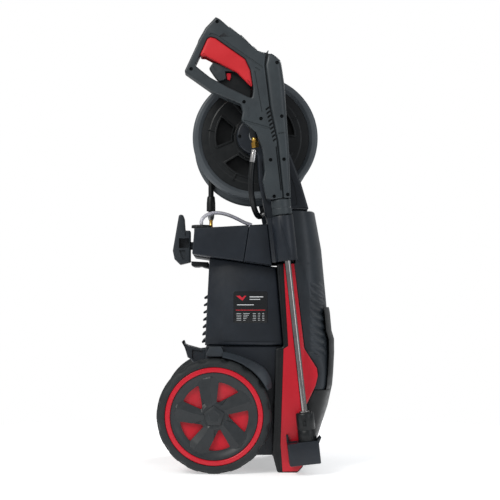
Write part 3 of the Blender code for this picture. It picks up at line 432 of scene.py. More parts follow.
# Chromed tube, polished and plated: near mirror with the faintest drawing marks along it.
chrome = plated("chrome_plated_tube", "8F8C8B", "9C9998", 0.14, 0.02, 1.2, 0.0006, (1, 1, 0.04))
# Crimped sleeve, nickel plated: smooth, mid-grey, no grain.
nickel = plated("nickel_plated_crimp", "BDBBBA", "C3C1C0", 0.24, 0.01, 2.0, 0.0001)
# Screws, blackened steel: a dark, oily grey.
black_oxide = plated("black_oxide_steel", "1B1D1F", "26292B", 0.42, 0.06, 0.5, 0.01)
# Turned brass.
brass = plated("turned_brass", "B58A3C", "CDA557", 0.24, 0.06, 0.4, 0.01, (0.2, 0.2, 1))
# Die-cast aluminium.
cast_aluminium = plated("die_cast_aluminium", "9DA0A3", "B1B4B6", 0.46, 0.08, 0.9, 0.06)


def make_clear_pvc():
    """Clear PVC tube, extruded: milky, with a soft gloss."""
    made, tree, where = new_finish("clear_extruded_pvc")
    haze = add(tree, "TexNoise", None, {"Vector": where, "Scale": per_mm(7), "Detail": 3.0})
    rough = add(tree, "MapRange", None, {"Value": haze, "To Min": 0.10, "To Max": 0.28})
    close_finish(tree, {
        "Base Color": blended(tree, "DCDCEA", "F4F4FA", haze), "Roughness": (rough, "Result"),
        "Transmission Weight": 0.55, "IOR": 1.30, "Coat Weight": 0.3, "Coat Roughness": 0.1,
    })  # fmt: skip
    return made


clear_pvc = make_clear_pvc()


# Camera


def make_camera():
    data = bpy.data.cameras.new("camera")
    data.lens = 93.6
    data.sensor_width = 36
    data.shift_x = 0.05
    data.shift_y = 0.04
    data.clip_end = 60
    camera = bpy.data.objects.new("camera", data)
    camera.location = (-0.043, -2.6, 0.326)
    camera.rotation_euler = (math.pi / 2 + math.radians(1.32), 0, 0)
    bpy.context.scene.collection.objects.link(camera)
    bpy.context.scene.camera = camera


make_camera()


# Hoses


def smooth_route(knots, spacing):
    """Points a given distance apart on a smooth curve through the route's own points."""
    points = [Vector(p) for p in knots]
    points = [2 * points[0] - points[1], *points, 2 * points[-1] - points[-2]]
    fine = []
    for a, b, c, d in zip(points, points[1:], points[2:], points[3:]):
        for i in range(24):
            t = i / 24
            bend = (a - 2.5 * b + 2 * c - d / 2) * t * t + (1.5 * (b - c) + (d - a) / 2) * t**3
            fine.append(b + (c - a) * t / 2 + bend)
    fine.append(points[-2])
    length = sum((b - a).length for a, b in zip(fine, fine[1:]))
    count = max(2, round(length / spacing))
    route, walked = [fine[0]], 0.0
    for a, b in zip(fine, fine[1:]):
        span = (b - a).length
        while walked + span >= length / count * len(route) - 1e-9 and len(route) < count:
            route.append(a.lerp(b, (length / count * len(route) - walked) / span))
        walked += span
    return [*route, fine[-1]], length


def hose(name, route, radius, finish, body, nodes):
    curve = bpy.data.curves.new(name, "CURVE")
    curve.dimensions = "3D"
    spline = curve.splines.new("POLY")
    spline.points.add(len(route) - 1)
    for point, place in zip(spline.points, route):
        point.co = (*place, 1)
    curve.bevel_depth = radius
    curve.bevel_resolution = 6
    curve.use_fill_caps = True
    curve.materials.append(finish)
    obj = bpy.data.objects.new(name, curve)
    bpy.context.scene.collection.objects.link(obj)
    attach(obj, body)
    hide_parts(*nodes)
    return obj


OUTLET = Vector((-0.0718, WOUND_Y, 0.5013))
GUN_HOSE_ROUTE = [
    (0.0088, -0.165, 0.5842), (0.0064, -0.165, 0.5640), (0.0056, -0.1640, 0.5420),
    (0.0074, -0.1590, 0.5200), (0.0115, -0.1480, 0.5020), (0.0165, -0.1320, 0.4905),
    (0.0215, -0.1145, 0.4860), (0.0268, -0.0965, 0.4885), (0.0325, -0.0825, 0.4985),
    (0.0395, -0.0755, 0.5155), (0.0472, -0.0745, 0.5345), (0.0543, -0.0752, 0.5502),
]  # fmt: skip
CLEAR_ROUTE = [
    (-0.0885, -0.100, 0.4711), (-0.0885, -0.100, 0.4759), (-0.0860, -0.0988, 0.4830),
    (-0.0790, -0.0964, 0.4893), (-0.0680, -0.0924, 0.4934), (-0.0550, -0.0877, 0.4944),
    (-0.0420, -0.0830, 0.4923), (-0.0290, -0.0780, 0.4880), (-0.0160, -0.0725, 0.4823),
    (-0.0040, -0.0670, 0.4766), (0.0085, -0.0610, 0.4728),
]  # fmt: skip


def make_wound_hose():
    """The high-pressure hose on the drum, one layer of turns side by side."""
    points = []
    count = round(WOUND_TURNS * 36)
    for i in range(count + 1):
        share = i / count
        turn = math.pi - share * WOUND_TURNS * math.tau
        y = WOUND_Y - 2 * WOUND_Y * share
        points.append(REEL + Vector((WOUND_R * math.cos(turn), y, WOUND_R * math.sin(turn))))
    wound = hose(
        "wound_hose", points, HOSE_R, hose_rubber, "reel", ["hose_pack"]
    )
    return points


def make_hoses():
    wound = make_wound_hose()
    ferrule = make_gun_ferrule()
    knots = [wound[-1], (0.0690, -WOUND_Y, 0.5677), *GUN_HOSE_ROUTE[::-1]]
    route, length = smooth_route(knots, 0.008)
    gun_hose = hose("gun_hose_run", route, HOSE_R, hose_rubber, "machine", ["gun_hose"])
    rise = [OUTLET + Vector((0, 0, (wound[0].z - OUTLET.z) * i / 12)) for i in range(13)]
    outlet = hose("outlet_hose_run", rise, HOSE_R, hose_rubber, "machine", ["outlet_hose"])
    make_outlet_sleeve()  # fmt: skip
    route, length = smooth_route(CLEAR_ROUTE, 0.005)
    clear = hose("suction_hose", route, 0.0035, clear_pvc, "machine", ["clear_hose"])


def make_gun_ferrule():
    """The crimped sleeve and its collar on the hose end at the gun."""
    lean = math.atan2(0.0038, 0.0245)
    shell = [
        (0, 0), (0.0062, 0), (0.0062, 0.0180), (0.0059, 0.0184), (0.0059, 0.0192),
        (0.0062, 0.0196), (0.0062, 0.0225), (0.0052, 0.0245), (0, 0.0245),
    ]  # fmt: skip
    place = Matrix.Translation((0.0088, -0.165, 0.5845)) @ Matrix.Rotation(lean, 4, "Y")
    return [
        piece(
            "hose_ferrule", lathe(shell, "Z", steps=48, corner=0.0004), nickel,
            nodes=["gun_hose_ferrule"], place=place,
        )
    ]  # fmt: skip


def make_outlet_sleeve():
    """The rubber sleeve over the hose and the fitting's crimped end, at the tank's rear."""
    sleeve = [
        (HOSE_R, 0.0072), (0.0088, 0.0072), (0.0092, 0.0085), (0.0090, 0.024), (0.0080, 0.036),
        (0.0062, 0.0385), (HOSE_R, 0.0385),
    ]  # fmt: skip
    return [
        piece(
            "hose_sleeve", lathe(sleeve, "Z", OUTLET, 48, 0.0008), hose_rubber
        )
    ]


make_hoses()


# Wheels


def wheel_place(side):
    """The frame of one wheel, its outer face towards -Y. The far wheel is the near one turned over."""
    if side < 0:
        return Matrix.Translation((WHEEL.x, -WHEEL.y, WHEEL.z))
    return Matrix.Translation(WHEEL) @ Matrix.Scale(-1, 4, (0, 1, 0))


def tread(r, h, a):
    """Lugs that alternate left and right of the tread's middle, fading out down the sidewall."""
    reach = max(0.0, min(1.0, (r - 0.0975) / 0.0085))
    phase = 0.0 if h < 0 else math.pi
    wave = 0.5 + 0.5 * math.cos(LUGS * a + phase * (abs(h) < 0.012))
    groove = 1 - min(1.0, max(0.0, (wave - 0.10) * 3.2))
    return r - 0.0030 * reach * groove


def make_tyre(name, side, body):
    half = TYRE_HALF
    profile = [
        (RIM_R + 0.0004, half - 0.0004), (RIM_R + 0.0004, -half + 0.0012),
        (RIM_R + 0.0016, -half + 0.0002), (0.0960, -half), (0.0990, -half + 0.0004),
        (0.1020, -half + 0.0013), (0.1046, -half + 0.0030), (0.1064, -half + 0.0052),
        (0.1074, -half + 0.0080), (TYRE_R, -half + 0.0115), (TYRE_R, -0.0012), (0.1056, -0.0008),
        (0.1056, 0.0008), (TYRE_R, 0.0012), (TYRE_R, half - 0.0115), (0.1074, half - 0.0080),
        (0.1064, half - 0.0052), (0.1046, half - 0.0030), (0.1020, half - 0.0013),
        (0.0990, half - 0.0004),
    ]  # fmt: skip
    bm = lathe(profile, "Y", steps=LUGS * 16, ripple=tread)
    piece(
        f"{name}_tyre", bm, tyre_rubber, body, [f"tyre_{name}"], wheel_place(side),
        angle=50,
    )  # fmt: skip


def make_rim(name, side, body):
    lip = COVER_R + GAP
    profile = [
        (0.0064, 0.0140), (0.0150, 0.0140), (0.0150, 0.0020), (lip + 0.0018, 0.0020),
        (lip + 0.0018, 0.0175), (RIM_R, 0.0175), (RIM_R, -0.0150), (RIM_R - 0.0013, -0.0165),
        (lip + 0.0016, -0.0165), (lip, -0.0152), (lip, -0.0030), (0.0064, -0.0030),
    ]  # fmt: skip
    bm = lathe(profile, "Y", steps=128, corner=0.0010)
    piece(f"{name}_rim", bm, red_abs, body, [f"rim_{name}"], wheel_place(side))


WINDOW_TURNS = [72 * i for i in range(5)]


def polar(radius, degrees, y):
    turn = math.radians(degrees)
    return (radius * math.cos(turn), y, radius * math.sin(turn))


def cover_window(turn, grow=0.0):
    outer = arc((0, 0), 0.0645 + grow, turn + 44.5, turn + 82, 8)
    inner = arc((0, 0), 0.0275 - grow, turn + 79.75, turn + 70.75, 2)
    return fillet([*outer, *inner], 0.0030)


def cover_height(r, turn):
    """How far the wheel cover stands out: a coned ring, a hub and five ridged spokes."""
    ring = 0.0098 + 0.0050 * smooth_step(0.0640, 0.0810, r)
    hub = 0.0142 - 0.75 * max(0.0, r - 0.0235)
    off = (math.degrees(turn) - 54) % 72 - 36
    ridge = 5.0 + 7.0 * max(0.0, min(1.0, (0.060 - r) / 0.040))
    across = r * math.radians(off - ridge)
    crest = 0.0161 - 0.9 * max(0.0, r - 0.0725) - 0.25 * max(0.0, 0.0230 - r)
    spoke = crest - (0.20 * across if across > 0 else -0.46 * across)
    return max(ring, hub, spoke if off > -14 else 0.0)


def make_wheel_cover(name, side, body):
    """The spoked cover over the rim, with five windows."""
    steps = 450
    radii = [0.0075 + (0.0812 - 0.0075) * i / 66 for i in range(67)]
    loops = []
    for r, y in ((0.0075, -0.0033), *((r, None) for r in radii), (COVER_R, -0.0138), (COVER_R, -0.0033)):
        ring = []
        for i in range(steps):
            turn = math.tau * i / steps
            height = y if y is not None else -cover_height(r, turn)
            ring.append((r * math.cos(turn), height, r * math.sin(turn)))
        loops.append(ring)
    disc = loft([*loops, loops[0]], cap=False)
    cuts = [plate(cover_window(turn), -0.03, 0.01) for turn in WINDOW_TURNS]
    piece(
        f"{name}_wheel_cover", disc, cover_nylon, body, [f"wheel_cover_{name}"],
        wheel_place(side), cut=cuts, angle=40,
    )  # fmt: skip


def pentagon(radius, y):
    return [polar(radius, 90 + 72 * i, y) for i in range(5)]


def make_hub_cap(name, side, body):
    levels = [
        pentagon(0.0205, -0.0153), pentagon(0.0200, -0.0166), pentagon(0.0128, -0.0183),
        pentagon(0.0118, -0.0183), pentagon(0.0100, -0.0176), pentagon(0.0012, -0.0176),
    ]  # fmt: skip
    piece(
        f"{name}_hub_cap", loft(levels), cover_nylon, body, [f"hub_cap_{name}"],
        wheel_place(side), edge=0.0003, angle=20,
    )  # fmt: skip


def make_wheels():
    for name, side in SIDES.items():
        body = f"wheel_{name}"
        make_tyre(name, side, body)
        make_rim(name, side, body)
        make_wheel_cover(name, side, body)
        make_hub_cap(name, side, body)


make_wheels()


# Reel


def flange_window(turn, grow=0.0):
    reach = math.degrees(grow / 0.06)
    outer = arc((0, 0), 0.0760 + grow, turn + 148 - reach, turn + 192 + reach, 10)
    inner = arc((0, 0), 0.0470 - grow, turn + 186 + reach, turn + 154 - reach, 6)
    return fillet([*outer, *inner], 0.004 + grow)


def make_flange(name, side):
    """A reel flange: a fat rounded rim round a dished black face with framed windows and a hub."""
    face, back = -REEL_HALF, -REEL_HALF + 0.0063
    place = Matrix.Translation(REEL)
    if side > 0:
        place = place @ Matrix.Scale(-1, 4, (0, 1, 0))
    rim = [(REEL_R - 0.0172, back + 0.0028), (REEL_R - 0.004, back + 0.0030)]
    rim += [(REEL_R, back + 0.0004), (REEL_R, face + 0.0030), (REEL_R - 0.0040, face)]
    rim += [(REEL_R - 0.0108, face), (REEL_R - 0.0150, face + 0.0030), (REEL_R - 0.0172, face + 0.0044)]
    # The rim takes the lighter nylon, whose lighter tone is painted highlight.
    piece(
        f"{name}_reel_rim", lathe(rim, "Y", steps=160, corner=0.0018), rim_nylon_painted_highlight, "reel",
        place=place,
    )  # fmt: skip
    edge = REEL_R - 0.0168
    dish = [(edge, back + 0.0020), (edge, face + 0.0052), (0.0900, face + 0.0052)]
    dish += [(0.0880, face + 0.0040), (0.0800, face + 0.0040), (0.0430, face + 0.0040)]
    hub_end = face - (0.0080 if side < 0 else 0.0350)
    hub_r = 0.0200 if side < 0 else 0.0155
    hub = [(0.0400, face + 0.0014), (0.0340, face + 0.0014), (0.0320, face + 0.0040)]
    hub += [(hub_r, face + 0.0040), (hub_r, hub_end + 0.0008), (hub_r - 0.0008, hub_end)]
    hub += [(0.0084, hub_end), (0.0084, back + 0.0002)]
    disc = lathe([*dish, *hub], "Y", steps=144, corner=0.0012)
    frames = []
    for turn in WINDOW_TURNS:
        frames.append(plate(flange_window(turn, 0.0034), face + 0.0012, back, 0.0009))
    cuts = [plate(flange_window(turn), face - 0.01, back + 0.01) for turn in WINDOW_TURNS]
    for i in range(5):
        rib = box((0.0350, face + 0.0014, -0.0012), (0.0930, back, 0.0012), 0.0004)
        frames.append(moved(rib, turn=math.radians(-26 - 72 * i)))
    piece(
        f"{name}_reel_flange", disc, black_nylon, "reel", [f"reel_flange_{name}"],
        place, cut=cuts, join=frames,
    )  # fmt: skip


def make_drum():
    """The drum's wall and its closed web, with ribs on the far side of the web."""
    inner, inside, web = REEL_HALF - 0.0063 - GAP, DRUM_R - 0.003, -0.0620
    profile = [
        (inside, -inner), (DRUM_R, -inner), (DRUM_R, inner), (inside, inner), (inside, web + 0.003),
        (0.0084, web + 0.003), (0.0084, web), (inside, web),
    ]  # fmt: skip
    ribs = []
    for turn in range(0, 360, 30):
        rib = box((0.0300, web + 0.002, -0.0012), (inside + 0.001, web + 0.030, 0.0012))
        ribs.append(moved(rib, turn=math.radians(turn)))
    piece(
        "hose_drum", lathe(profile, "Y", steps=120), black_nylon, "reel", ["reel_drum"],
        Matrix.Translation(REEL), join=ribs,
    )  # fmt: skip


def arm_outline(grow=0.0):
    """The outline of a yoke arm, from its head round to its front."""
    head = arc((REEL.x, REEL.z), 0.036 + grow, 60, 275, 24)
    return [
        *head, (REEL.x + 0.0055 - grow, REEL.z - 0.0846), (REEL.x + 0.0150 - grow, REEL.z - 0.1324),
        (0.0372, 0.4755), (0.0460, 0.3970), (0.0903, 0.3970), (0.0840, 0.4983), (0.1172, 0.4983),
        (0.1025, 0.5485), (0.0815, 0.6056),
    ]  # fmt: skip


def make_arms():
    for name, side in SIDES.items():
        low, high = sorted((side * ARM_IN, side * ARM_OUT))
        ends = "low" if side < 0 else "high"
        bore = 0.0083 if side < 0 else 0.0159
        face = low if side < 0 else high
        recess = [
            (0.0270, 0.5900), (0.0330, 0.5200), (0.0430, 0.5060), (0.0960, 0.5060), (0.0900, 0.5430),
            (0.0700, 0.5980),
        ]  # fmt: skip
        cuts = [
            lathe([(0, low - 0.01), (bore, low - 0.01), (bore, high + 0.01), (0, high + 0.01)],
                  "Y", (REEL.x, 0, REEL.z), 64),
            plate(recess, face - 0.0016, face + 0.0016, corner=0.006),
        ]  # fmt: skip
        piece(
            f"{name}_yoke_arm", plate(arm_outline(), low, high, 0.004, 0.003, ends=ends, steps=4),
            satin_abs, nodes=[f"yoke_arm_{name}"], cut=cuts,
        )  # fmt: skip


def make_reel_axle():
    near = -ARM_OUT - GAP
    profile = [
        (0, near - 0.0018), (0.0035, near - 0.0018), (0.0040, near - 0.0040), (0.0115, near - 0.004),
        (0.013, near - 0.0022), (0.013, near), (0.008, near), (0.008, ARM_OUT + 0.0130),
        (0, ARM_OUT + 0.0130),
    ]  # fmt: skip
    piece(
        "reel_axle_bolt", lathe(profile, "Y", (REEL.x, 0, REEL.z), 64, 0.0005), zinc_steel,
        nodes=["reel_axle"],
    )  # fmt: skip
    screw = [(0, near + 0.002), (0.0034, near + 0.002), (0.0034, near - 0.0004), (0, near - 0.0009)]
    place = (REEL.x - 0.0310, 0, REEL.z - 0.0015)
    piece("yoke_arm_screw", lathe(screw, "Y", place, 24, 0.0002), black_oxide)


def make_crank():
    start, end, half_width = ARM_OUT + 0.0013, ARM_OUT + 0.0113, 0.187
    turn = math.radians(250)
    tip = (0.085 * math.cos(turn), 0.085 * math.sin(turn))
    outline = arc((0, 0), 0.020, 350, 510, 20) + arc(tip, 0.012, 160, 340, 16)
    bore = lathe([(0, 0.1), (0.0084, 0.1), (0.0084, 0.2), (0, 0.2)], "Y", steps=48)
    slot_line = mm((-2, -24), (8, -20), (-16, -60), (-24, -58))
    groove = plate(slot_line, end - 0.002, end + 0.002, corner=0.004)
    pin = lathe(
        [(0, end - 0.002), (0.004, end - 0.002), (0.004, half_width - 0.006), (0, half_width - 0.006)],
        "Y", (tip[0], 0, tip[1]), 32,
    )  # fmt: skip
    place = Matrix.Translation(REEL)
    piece(
        "winding_crank", plate(outline, start, end, 0.0025, 0.003), black_nylon, "reel",
        ["crank_arm"], place, cut=[bore, groove], join=[pin],
    )  # fmt: skip
    knob = [
        (0.0044, end + GAP), (0.0100, end + GAP), (0.0122, end + 0.004), (0.0108, end + 0.016),
        (0.0118, half_width - 0.014), (0.0135, half_width - 0.007), (0.0118, half_width - 0.0015),
        (0.0080, half_width), (0, half_width), (0, half_width - 0.0055), (0.0044, half_width - 0.0055),
    ]  # fmt: skip
    piece(
        "crank_grip", lathe(knob, "Y", (tip[0], 0, tip[1]), 64, 0.002), black_nylon, "crank_knob",
        ["crank_knob"], place,
    )  # fmt: skip


def make_reel():
    make_flange("near", -1)
    make_flange("far", 1)
    make_drum()
    make_arms()
    make_reel_axle()
    make_crank()


make_reel()


# Gun


GUN_BODY = mm(
    (-18, 31.5), (-26, 34.5), (-30.5, 68), (-24.3, 86), (-24.5, 129), (-32.5, 160), (-57.5, 186),
    (-52.8, 201), (-54.5, 215), (-104, 243), (-153.6, 287), (-121.5, 340), (-104, 364),
    (-83.7, 381), (-75, 376.5), (-61, 361), (-40.5, 343), (-20, 319), (-12, 310.5), (-5, 307),
    (1.5, 303), (-2.8, 282.6), (-2.2, 203), (4.3, 140), (3.9, 48), (3.9, 31.5),
)  # fmt: skip
BACKSTRAP = mm(
    (-123.2, 337.6), (-120.8, 344), (-105, 365.8), (-83.5, 383.8), (-75.5, 378.4), (-62, 362.5),
    (-60, 363), (-41.5, 345), (-40, 345.5), (-20.5, 321), (-19, 321), (-12, 312.5), (-5, 309),
    (2.5, 306.8), (8.3, 311.3), (5.6, 304.5), (-1.5, 292), (-14, 300), (-40, 327), (-84, 368),
    (-112, 340),
)  # fmt: skip
GUARD_HOLE = mm(
    (-132.3, 297), (-122.2, 313.5), (-104.5, 343.5), (-98, 346.5), (-88.3, 342.8), (-37.5, 297.8),
    (-30.3, 276.5), (-29.0, 240.7), (-33, 222.8), (-75.4, 249.2), (-106.8, 271.5),
)  # fmt: skip
INSERT = mm(
    (-121.6, 313.2), (-104.1, 342.9), (-97.9, 345.8), (-88.6, 342.2), (-38.0, 297.4),
    (-30.9, 276.3), (-29.6, 241.5), (-42.4, 257.6), (-55.6, 274.3), (-110.9, 311.5),
)  # fmt: skip
TRIGGER_SLOT = mm(
    (-126, 300), (-110, 322), (-94, 328), (-46, 293), (-20, 284), (-6, 265), (-13, 246), (-30, 236),
    (-60, 250), (-110, 255),
)  # fmt: skip
GUN_SCREWS = mm(
    (-82.1, 373.5), (-140.2, 290.5), (-48.8, 218.4), (-20.8, 183.8), (-11.4, 105.3), (-12.4, 36.9)
)
BARREL_SCREWS = mm((20.6, 285.0), (18.4, 184.1), (13.6, 103.6), (13.2, 37.5))
SCREW_R = 0.0034


def strip(start, end, width, low, high, corner=0.0):
    """A straight bar in XZ from start to end, extruded along Y."""
    a, b = Vector(start), Vector(end)
    side = (b - a).orthogonal().normalized() * width / 2
    corners = [tuple(a + side), tuple(b + side), tuple(b - side), tuple(a - side)]
    return plate(corners, low, high, corner=corner)


def valve_chamber():
    grow = 0.0004
    low = 0.1525 - 10 * grow
    profile = [
        (0, low), (0.0045 + grow, low), (0.0045 + grow, 0.172 - grow), (0.0085 + grow, 0.172 - grow),
        (0.0085 + grow, 0.200 + grow), (0, 0.200 + grow),
    ]  # fmt: skip
    return lathe(profile, "Z", (INLET, 0, 0), 48)


def lance_bore(low=0.02):
    profile = [(0, low), (LANCE_R + GAP, low), (LANCE_R + GAP, 0.064), (0, 0.064)]
    return lathe(profile, "Z", steps=48)


def gun_grooves(side):
    """The sunk lines of a gun half: grip band, waist line, vent slots and screw wells."""
    low, high = sorted((side * (GUN_HALF - 0.0014), side * (GUN_HALF + 0.004)))
    deep = sorted((side * (GUN_HALF - 0.0055), side * (GUN_HALF + 0.004)))
    band = mm((-101, 350), (-96.5, 353.5), (-86, 349.5), (-34, 303.5), (-6.5, 280), (-7.5, 276.8),
              (-35.5, 299.8), (-87.6, 345.8), (-97, 349.4))  # fmt: skip
    cuts = [plate(band, low, high, corner=0.0015)]
    cuts.append(strip((-0.0530, 0.1828), (-0.0062, 0.1632), 0.0048, low, high, 0.0016))
    cuts.append(strip((-0.0205, 0.2800), (-0.0125, 0.2735), 0.0016, low, high, 0.0006))
    cuts.append(strip((-0.0225, 0.2740), (-0.0175, 0.1960), 0.0012, low, high, 0.0004))
    vent = sorted((side * (GUN_HALF - 0.0046), side * (GUN_HALF + 0.004)))
    for i in range(9):
        u = 0.2010 - i * 0.0074
        v = -0.0046 + i * 0.0009
        slot = [(v - 0.0058, u - 0.0040), (v + 0.0030, u + 0.0012), (v + 0.0030, u + 0.0052), (v - 0.0058, u)]
        cuts.append(plate(slot, *vent, corner=0.0005))
    cuts.append(strip((0.0014, 0.1290), (0.0014, 0.0460), 0.0022, *vent, 0.0008))
    well = [(0, deep[0]), (SCREW_R, deep[0]), (SCREW_R, deep[1]), (0, deep[1])]
    for x, z in GUN_SCREWS:
        cuts.append(lathe(well, "Y", (x, 0, z), 24))
    return cuts


def arrow(side):
    """The small raised arrow beside the hose inlet."""
    y = sorted((side * (GUN_HALF - 0.001), side * (GUN_HALF + 0.0006)))
    shape = mm(
        (-44.2, 190), (-42.6, 190), (-42.6, 206), (-40.4, 206), (-43.4, 212), (-46.4, 206),
        (-44.2, 206),
    )  # fmt: skip
    return plate(shape, *y)


def gun_screws(name, side, wells):
    """Cross-head screws at the bottoms of their wells."""
    heads = []
    level = side * (GUN_HALF - 0.0048)
    top = side * (GUN_HALF - 0.0030)
    for x, z in wells:
        head = lathe([(0, level), (0.0025, level), (0.0022, top), (0, top)], "Y", (x, 0, z), 20)
        heads.append(head)
    piece(name, merged(*heads), black_oxide, place=GUN, edge=0.0002)


def make_gun_halves():
    for name, side in SIDES.items():
        low, high = sorted((side * GAP / 2, side * GUN_HALF))
        ends = "low" if side < 0 else "high"
        body = plate(GUN_BODY, low, high, 0.0032, 0.0046, [GUARD_HOLE], ends, 4)
        cuts = [
            lance_bore(), valve_chamber(), plate(TRIGGER_SLOT, -0.0115, 0.0115), *gun_grooves(side)
        ]  # fmt: skip
        piece(
            f"{name}_gun_shell", body, grey_nylon, nodes=[f"gun_half_{name}"],
            place=GUN, cut=cuts, join=[arrow(side)],
        )  # fmt: skip
        gun_screws(f"{name}_shell_screws", side, GUN_SCREWS)


def make_backstrap():
    """The stepped rib along the back of the grip and its beak, seated in the two shells."""
    inner = plate(GUN_BODY, -0.0127, 0.0127, corner=0.0030)
    piece(
        "gun_backstrap", plate(BACKSTRAP, -0.0125, 0.0125, 0.0018, 0.0006), grey_nylon,
        place=GUN, cut=[inner],
    )  # fmt: skip


BARREL_LINES = [
    # height along the barrel, rear edge, front edge, half thickness, in millimetres
    (31.7, 5.6, 18.6, 17.0), (33.0, 4.9, 19.3, 18.2), (48.0, 4.9, 20.2, 18.5), (85.0, 5.1, 22.9, 18.5),
    (123.0, 5.3, 25.6, 18.5), (140.0, 5.4, 26.4, 18.5), (170.0, 2.2, 27.6, 18.5),
    (203.0, -1.1, 29.1, 18.5), (245.0, -1.5, 30.6, 18.5), (270.0, -1.8, 29.8, 18.5),
    (282.6, -2.0, 29.3, 18.4), (290.0, 0.9, 28.6, 18.0), (296.5, 3.4, 22.8, 17.2),
    (301.0, 5.2, 18.0, 16.0), (303.2, 6.3, 15.4, 14.6),
]  # fmt: skip


def make_barrel_cover():
    """The barrel's crowned cover, its middle fuller than its edges."""
    sections = []
    for height, rear, front, thick in BARREL_LINES:
        middle, half = (rear + front) / 2000, (front - rear) / 2000
        loop = []
        for i in range(48):
            a = math.tau * i / 48
            c, s = math.cos(a), math.sin(a)
            power = 0.34 if c < 0 else 0.66
            across = middle + half * math.copysign(abs(c) ** power, c)
            loop.append((across, thick / 1000 * math.copysign(abs(s) ** power, s), height / 1000))
        sections.append(loop)
    cuts = [lance_bore()]
    for side in SIDES.values():
        inner, outer = side * (GUN_HALF - 0.0060), side * 0.03
        deep = sorted((inner, outer))
        cuts.append(strip((0.0080, 0.1528), (0.0300, 0.1528), 0.0016, *sorted((side * 0.0166, outer))))
        well = [(0, deep[0]), (SCREW_R, deep[0]), (SCREW_R, deep[1]), (0, deep[1])]
        for x, z in BARREL_SCREWS:
            cuts.append(lathe(well, "Y", (x, 0, z), 24))
    piece(
        "gun_barrel_cover", loft(sections), grey_nylon, nodes=["barrel_cover"],
        place=GUN, cut=cuts, angle=50,
    )  # fmt: skip
    for name, side in SIDES.items():
        gun_screws(f"{name}_barrel_screws", side, BARREL_SCREWS)


def make_seam_painted_shade():
    """Painted shade: a black tongue in the seam between body and barrel cover, and black floors in the vents,
    set where the seam and the slots only fall into shade.
    """
    tongue = mm(
        (-6, 306), (10, 303.4), (8, 296), (1, 283), (1.8, 203), (8, 140), (8, 33), (0, 33), (1, 140),
        (-6, 203), (-6.5, 283),
    )  # fmt: skip
    vent_shade_floors = mm((-12, 206), (-3.2, 206), (3.4, 138), (-5, 138))
    plates = [plate(tongue, -0.0140, 0.0140)]
    for side in SIDES.values():
        plates.append(plate(vent_shade_floors, *sorted((side * (GUN_HALF - 0.0050), side * (GUN_HALF - 0.0040)))))
    piece("gun_seam_painted_shade", merged(*plates), black_nylon, place=GUN)


def make_grip_insert():
    cuts = [plate(TRIGGER_SLOT, -0.0115, 0.0115)]
    piece(
        "soft_grip", plate(INSERT, -0.0205, 0.0205, 0.0042, 0.0035, steps=5), red_elastomer,
        nodes=["grip_insert"], place=GUN, cut=cuts,
    )  # fmt: skip


def make_trigger():
    shape = mm(
        (-98, 300), (-106.3, 290), (-98.5, 275), (-91, 262.7), (-84, 264), (-77.2, 266.6), (-77.2, 281),
        (-60, 278), (-45, 263.5), (-26, 252),
    )  # fmt: skip
    shape += arc((-0.017, 0.262), 0.0078, 250, 420, 10)
    shape += mm((-50, 285), (-78, 292))
    groove = [
        strip((-0.0985, 0.2925), (-0.0935, 0.2835), 0.0022, -0.02, -0.0098, 0.0008),
        strip((-0.0985, 0.2925), (-0.0935, 0.2835), 0.0022, 0.0098, 0.02, 0.0008),
    ]
    piece(
        "trigger_lever", plate(shape, -0.0108, 0.0108, 0.0016, 0.0018), grey_nylon, "trigger",
        ["trigger"], GUN, cut=groove,
    )  # fmt: skip
    web = mm(
        (-79.5, 281), (-80, 268), (-92, 262.8), (-85, 257.2), (-75.5, 250.6), (-36, 226.4), (-33, 241),
        (-34, 264), (-45, 268), (-60, 279),
    )  # fmt: skip
    piece(
        "trigger_web", plate(web, -0.0016, 0.0016, 0.0004, 0.002), black_nylon, "trigger",
        place=GUN,
    )  # fmt: skip
    catch = mm((-75.5, 277.5), (-66.5, 276.5), (-67.5, 269.5), (-70.5, 263), (-75.5, 265.5))
    piece(
        "trigger_lock", plate(catch, -0.006, 0.006, 0.0012, 0.0012), red_abs, "safety_catch",
        ["safety_catch"], GUN,
    )  # fmt: skip


def hexagon(radius, low, high, centre_x):
    """A nut's upright hexagon, drawn in a little at both ends."""
    turns = [math.tau * (i + 0.5) / 6 for i in range(6)]
    points = [(radius * math.cos(turn), radius * math.sin(turn)) for turn in turns]
    levels = ((low, 0.93), (low + 0.0006, 1), (high - 0.0006, 1), (high, 0.93))
    return loft([[(centre_x + x * k, y * k, z) for x, y in points] for z, k in levels])


def make_gun_inlet():
    """The brass inlet: a hexagon at the hose's ferrule, a groove, and a turned nipple above."""
    nipple = [
        (0, 0.1425), (0.0062, 0.1425), (0.0062, 0.1440), (0.0054, 0.1450), (0.0054, 0.1465),
        (0.0062, 0.1475), (0.0062, 0.1495), (0.0054, 0.1512), (0, 0.1512),
    ]  # fmt: skip
    piece(
        "gun_inlet_nut", hexagon(0.0076, 0.1331, 0.1430, INLET), brass, nodes=["inlet_nipple"],
        place=GUN, join=[lathe(nipple, "Z", (INLET, 0, 0), 48)],
    )  # fmt: skip


def make_inlet_boss():
    """The plain boss round the valve's neck, above the brass."""
    boss = [
        (0.0046, 0.1515), (0.0068, 0.1515), (0.0078, 0.1535), (0.0082, 0.1800), (0.0046, 0.1800)
    ]  # fmt: skip
    piece(
        "gun_inlet_boss", lathe(boss, "Z", (INLET, 0, 0), 48), black_nylon,
        place=GUN,
    )  # fmt: skip


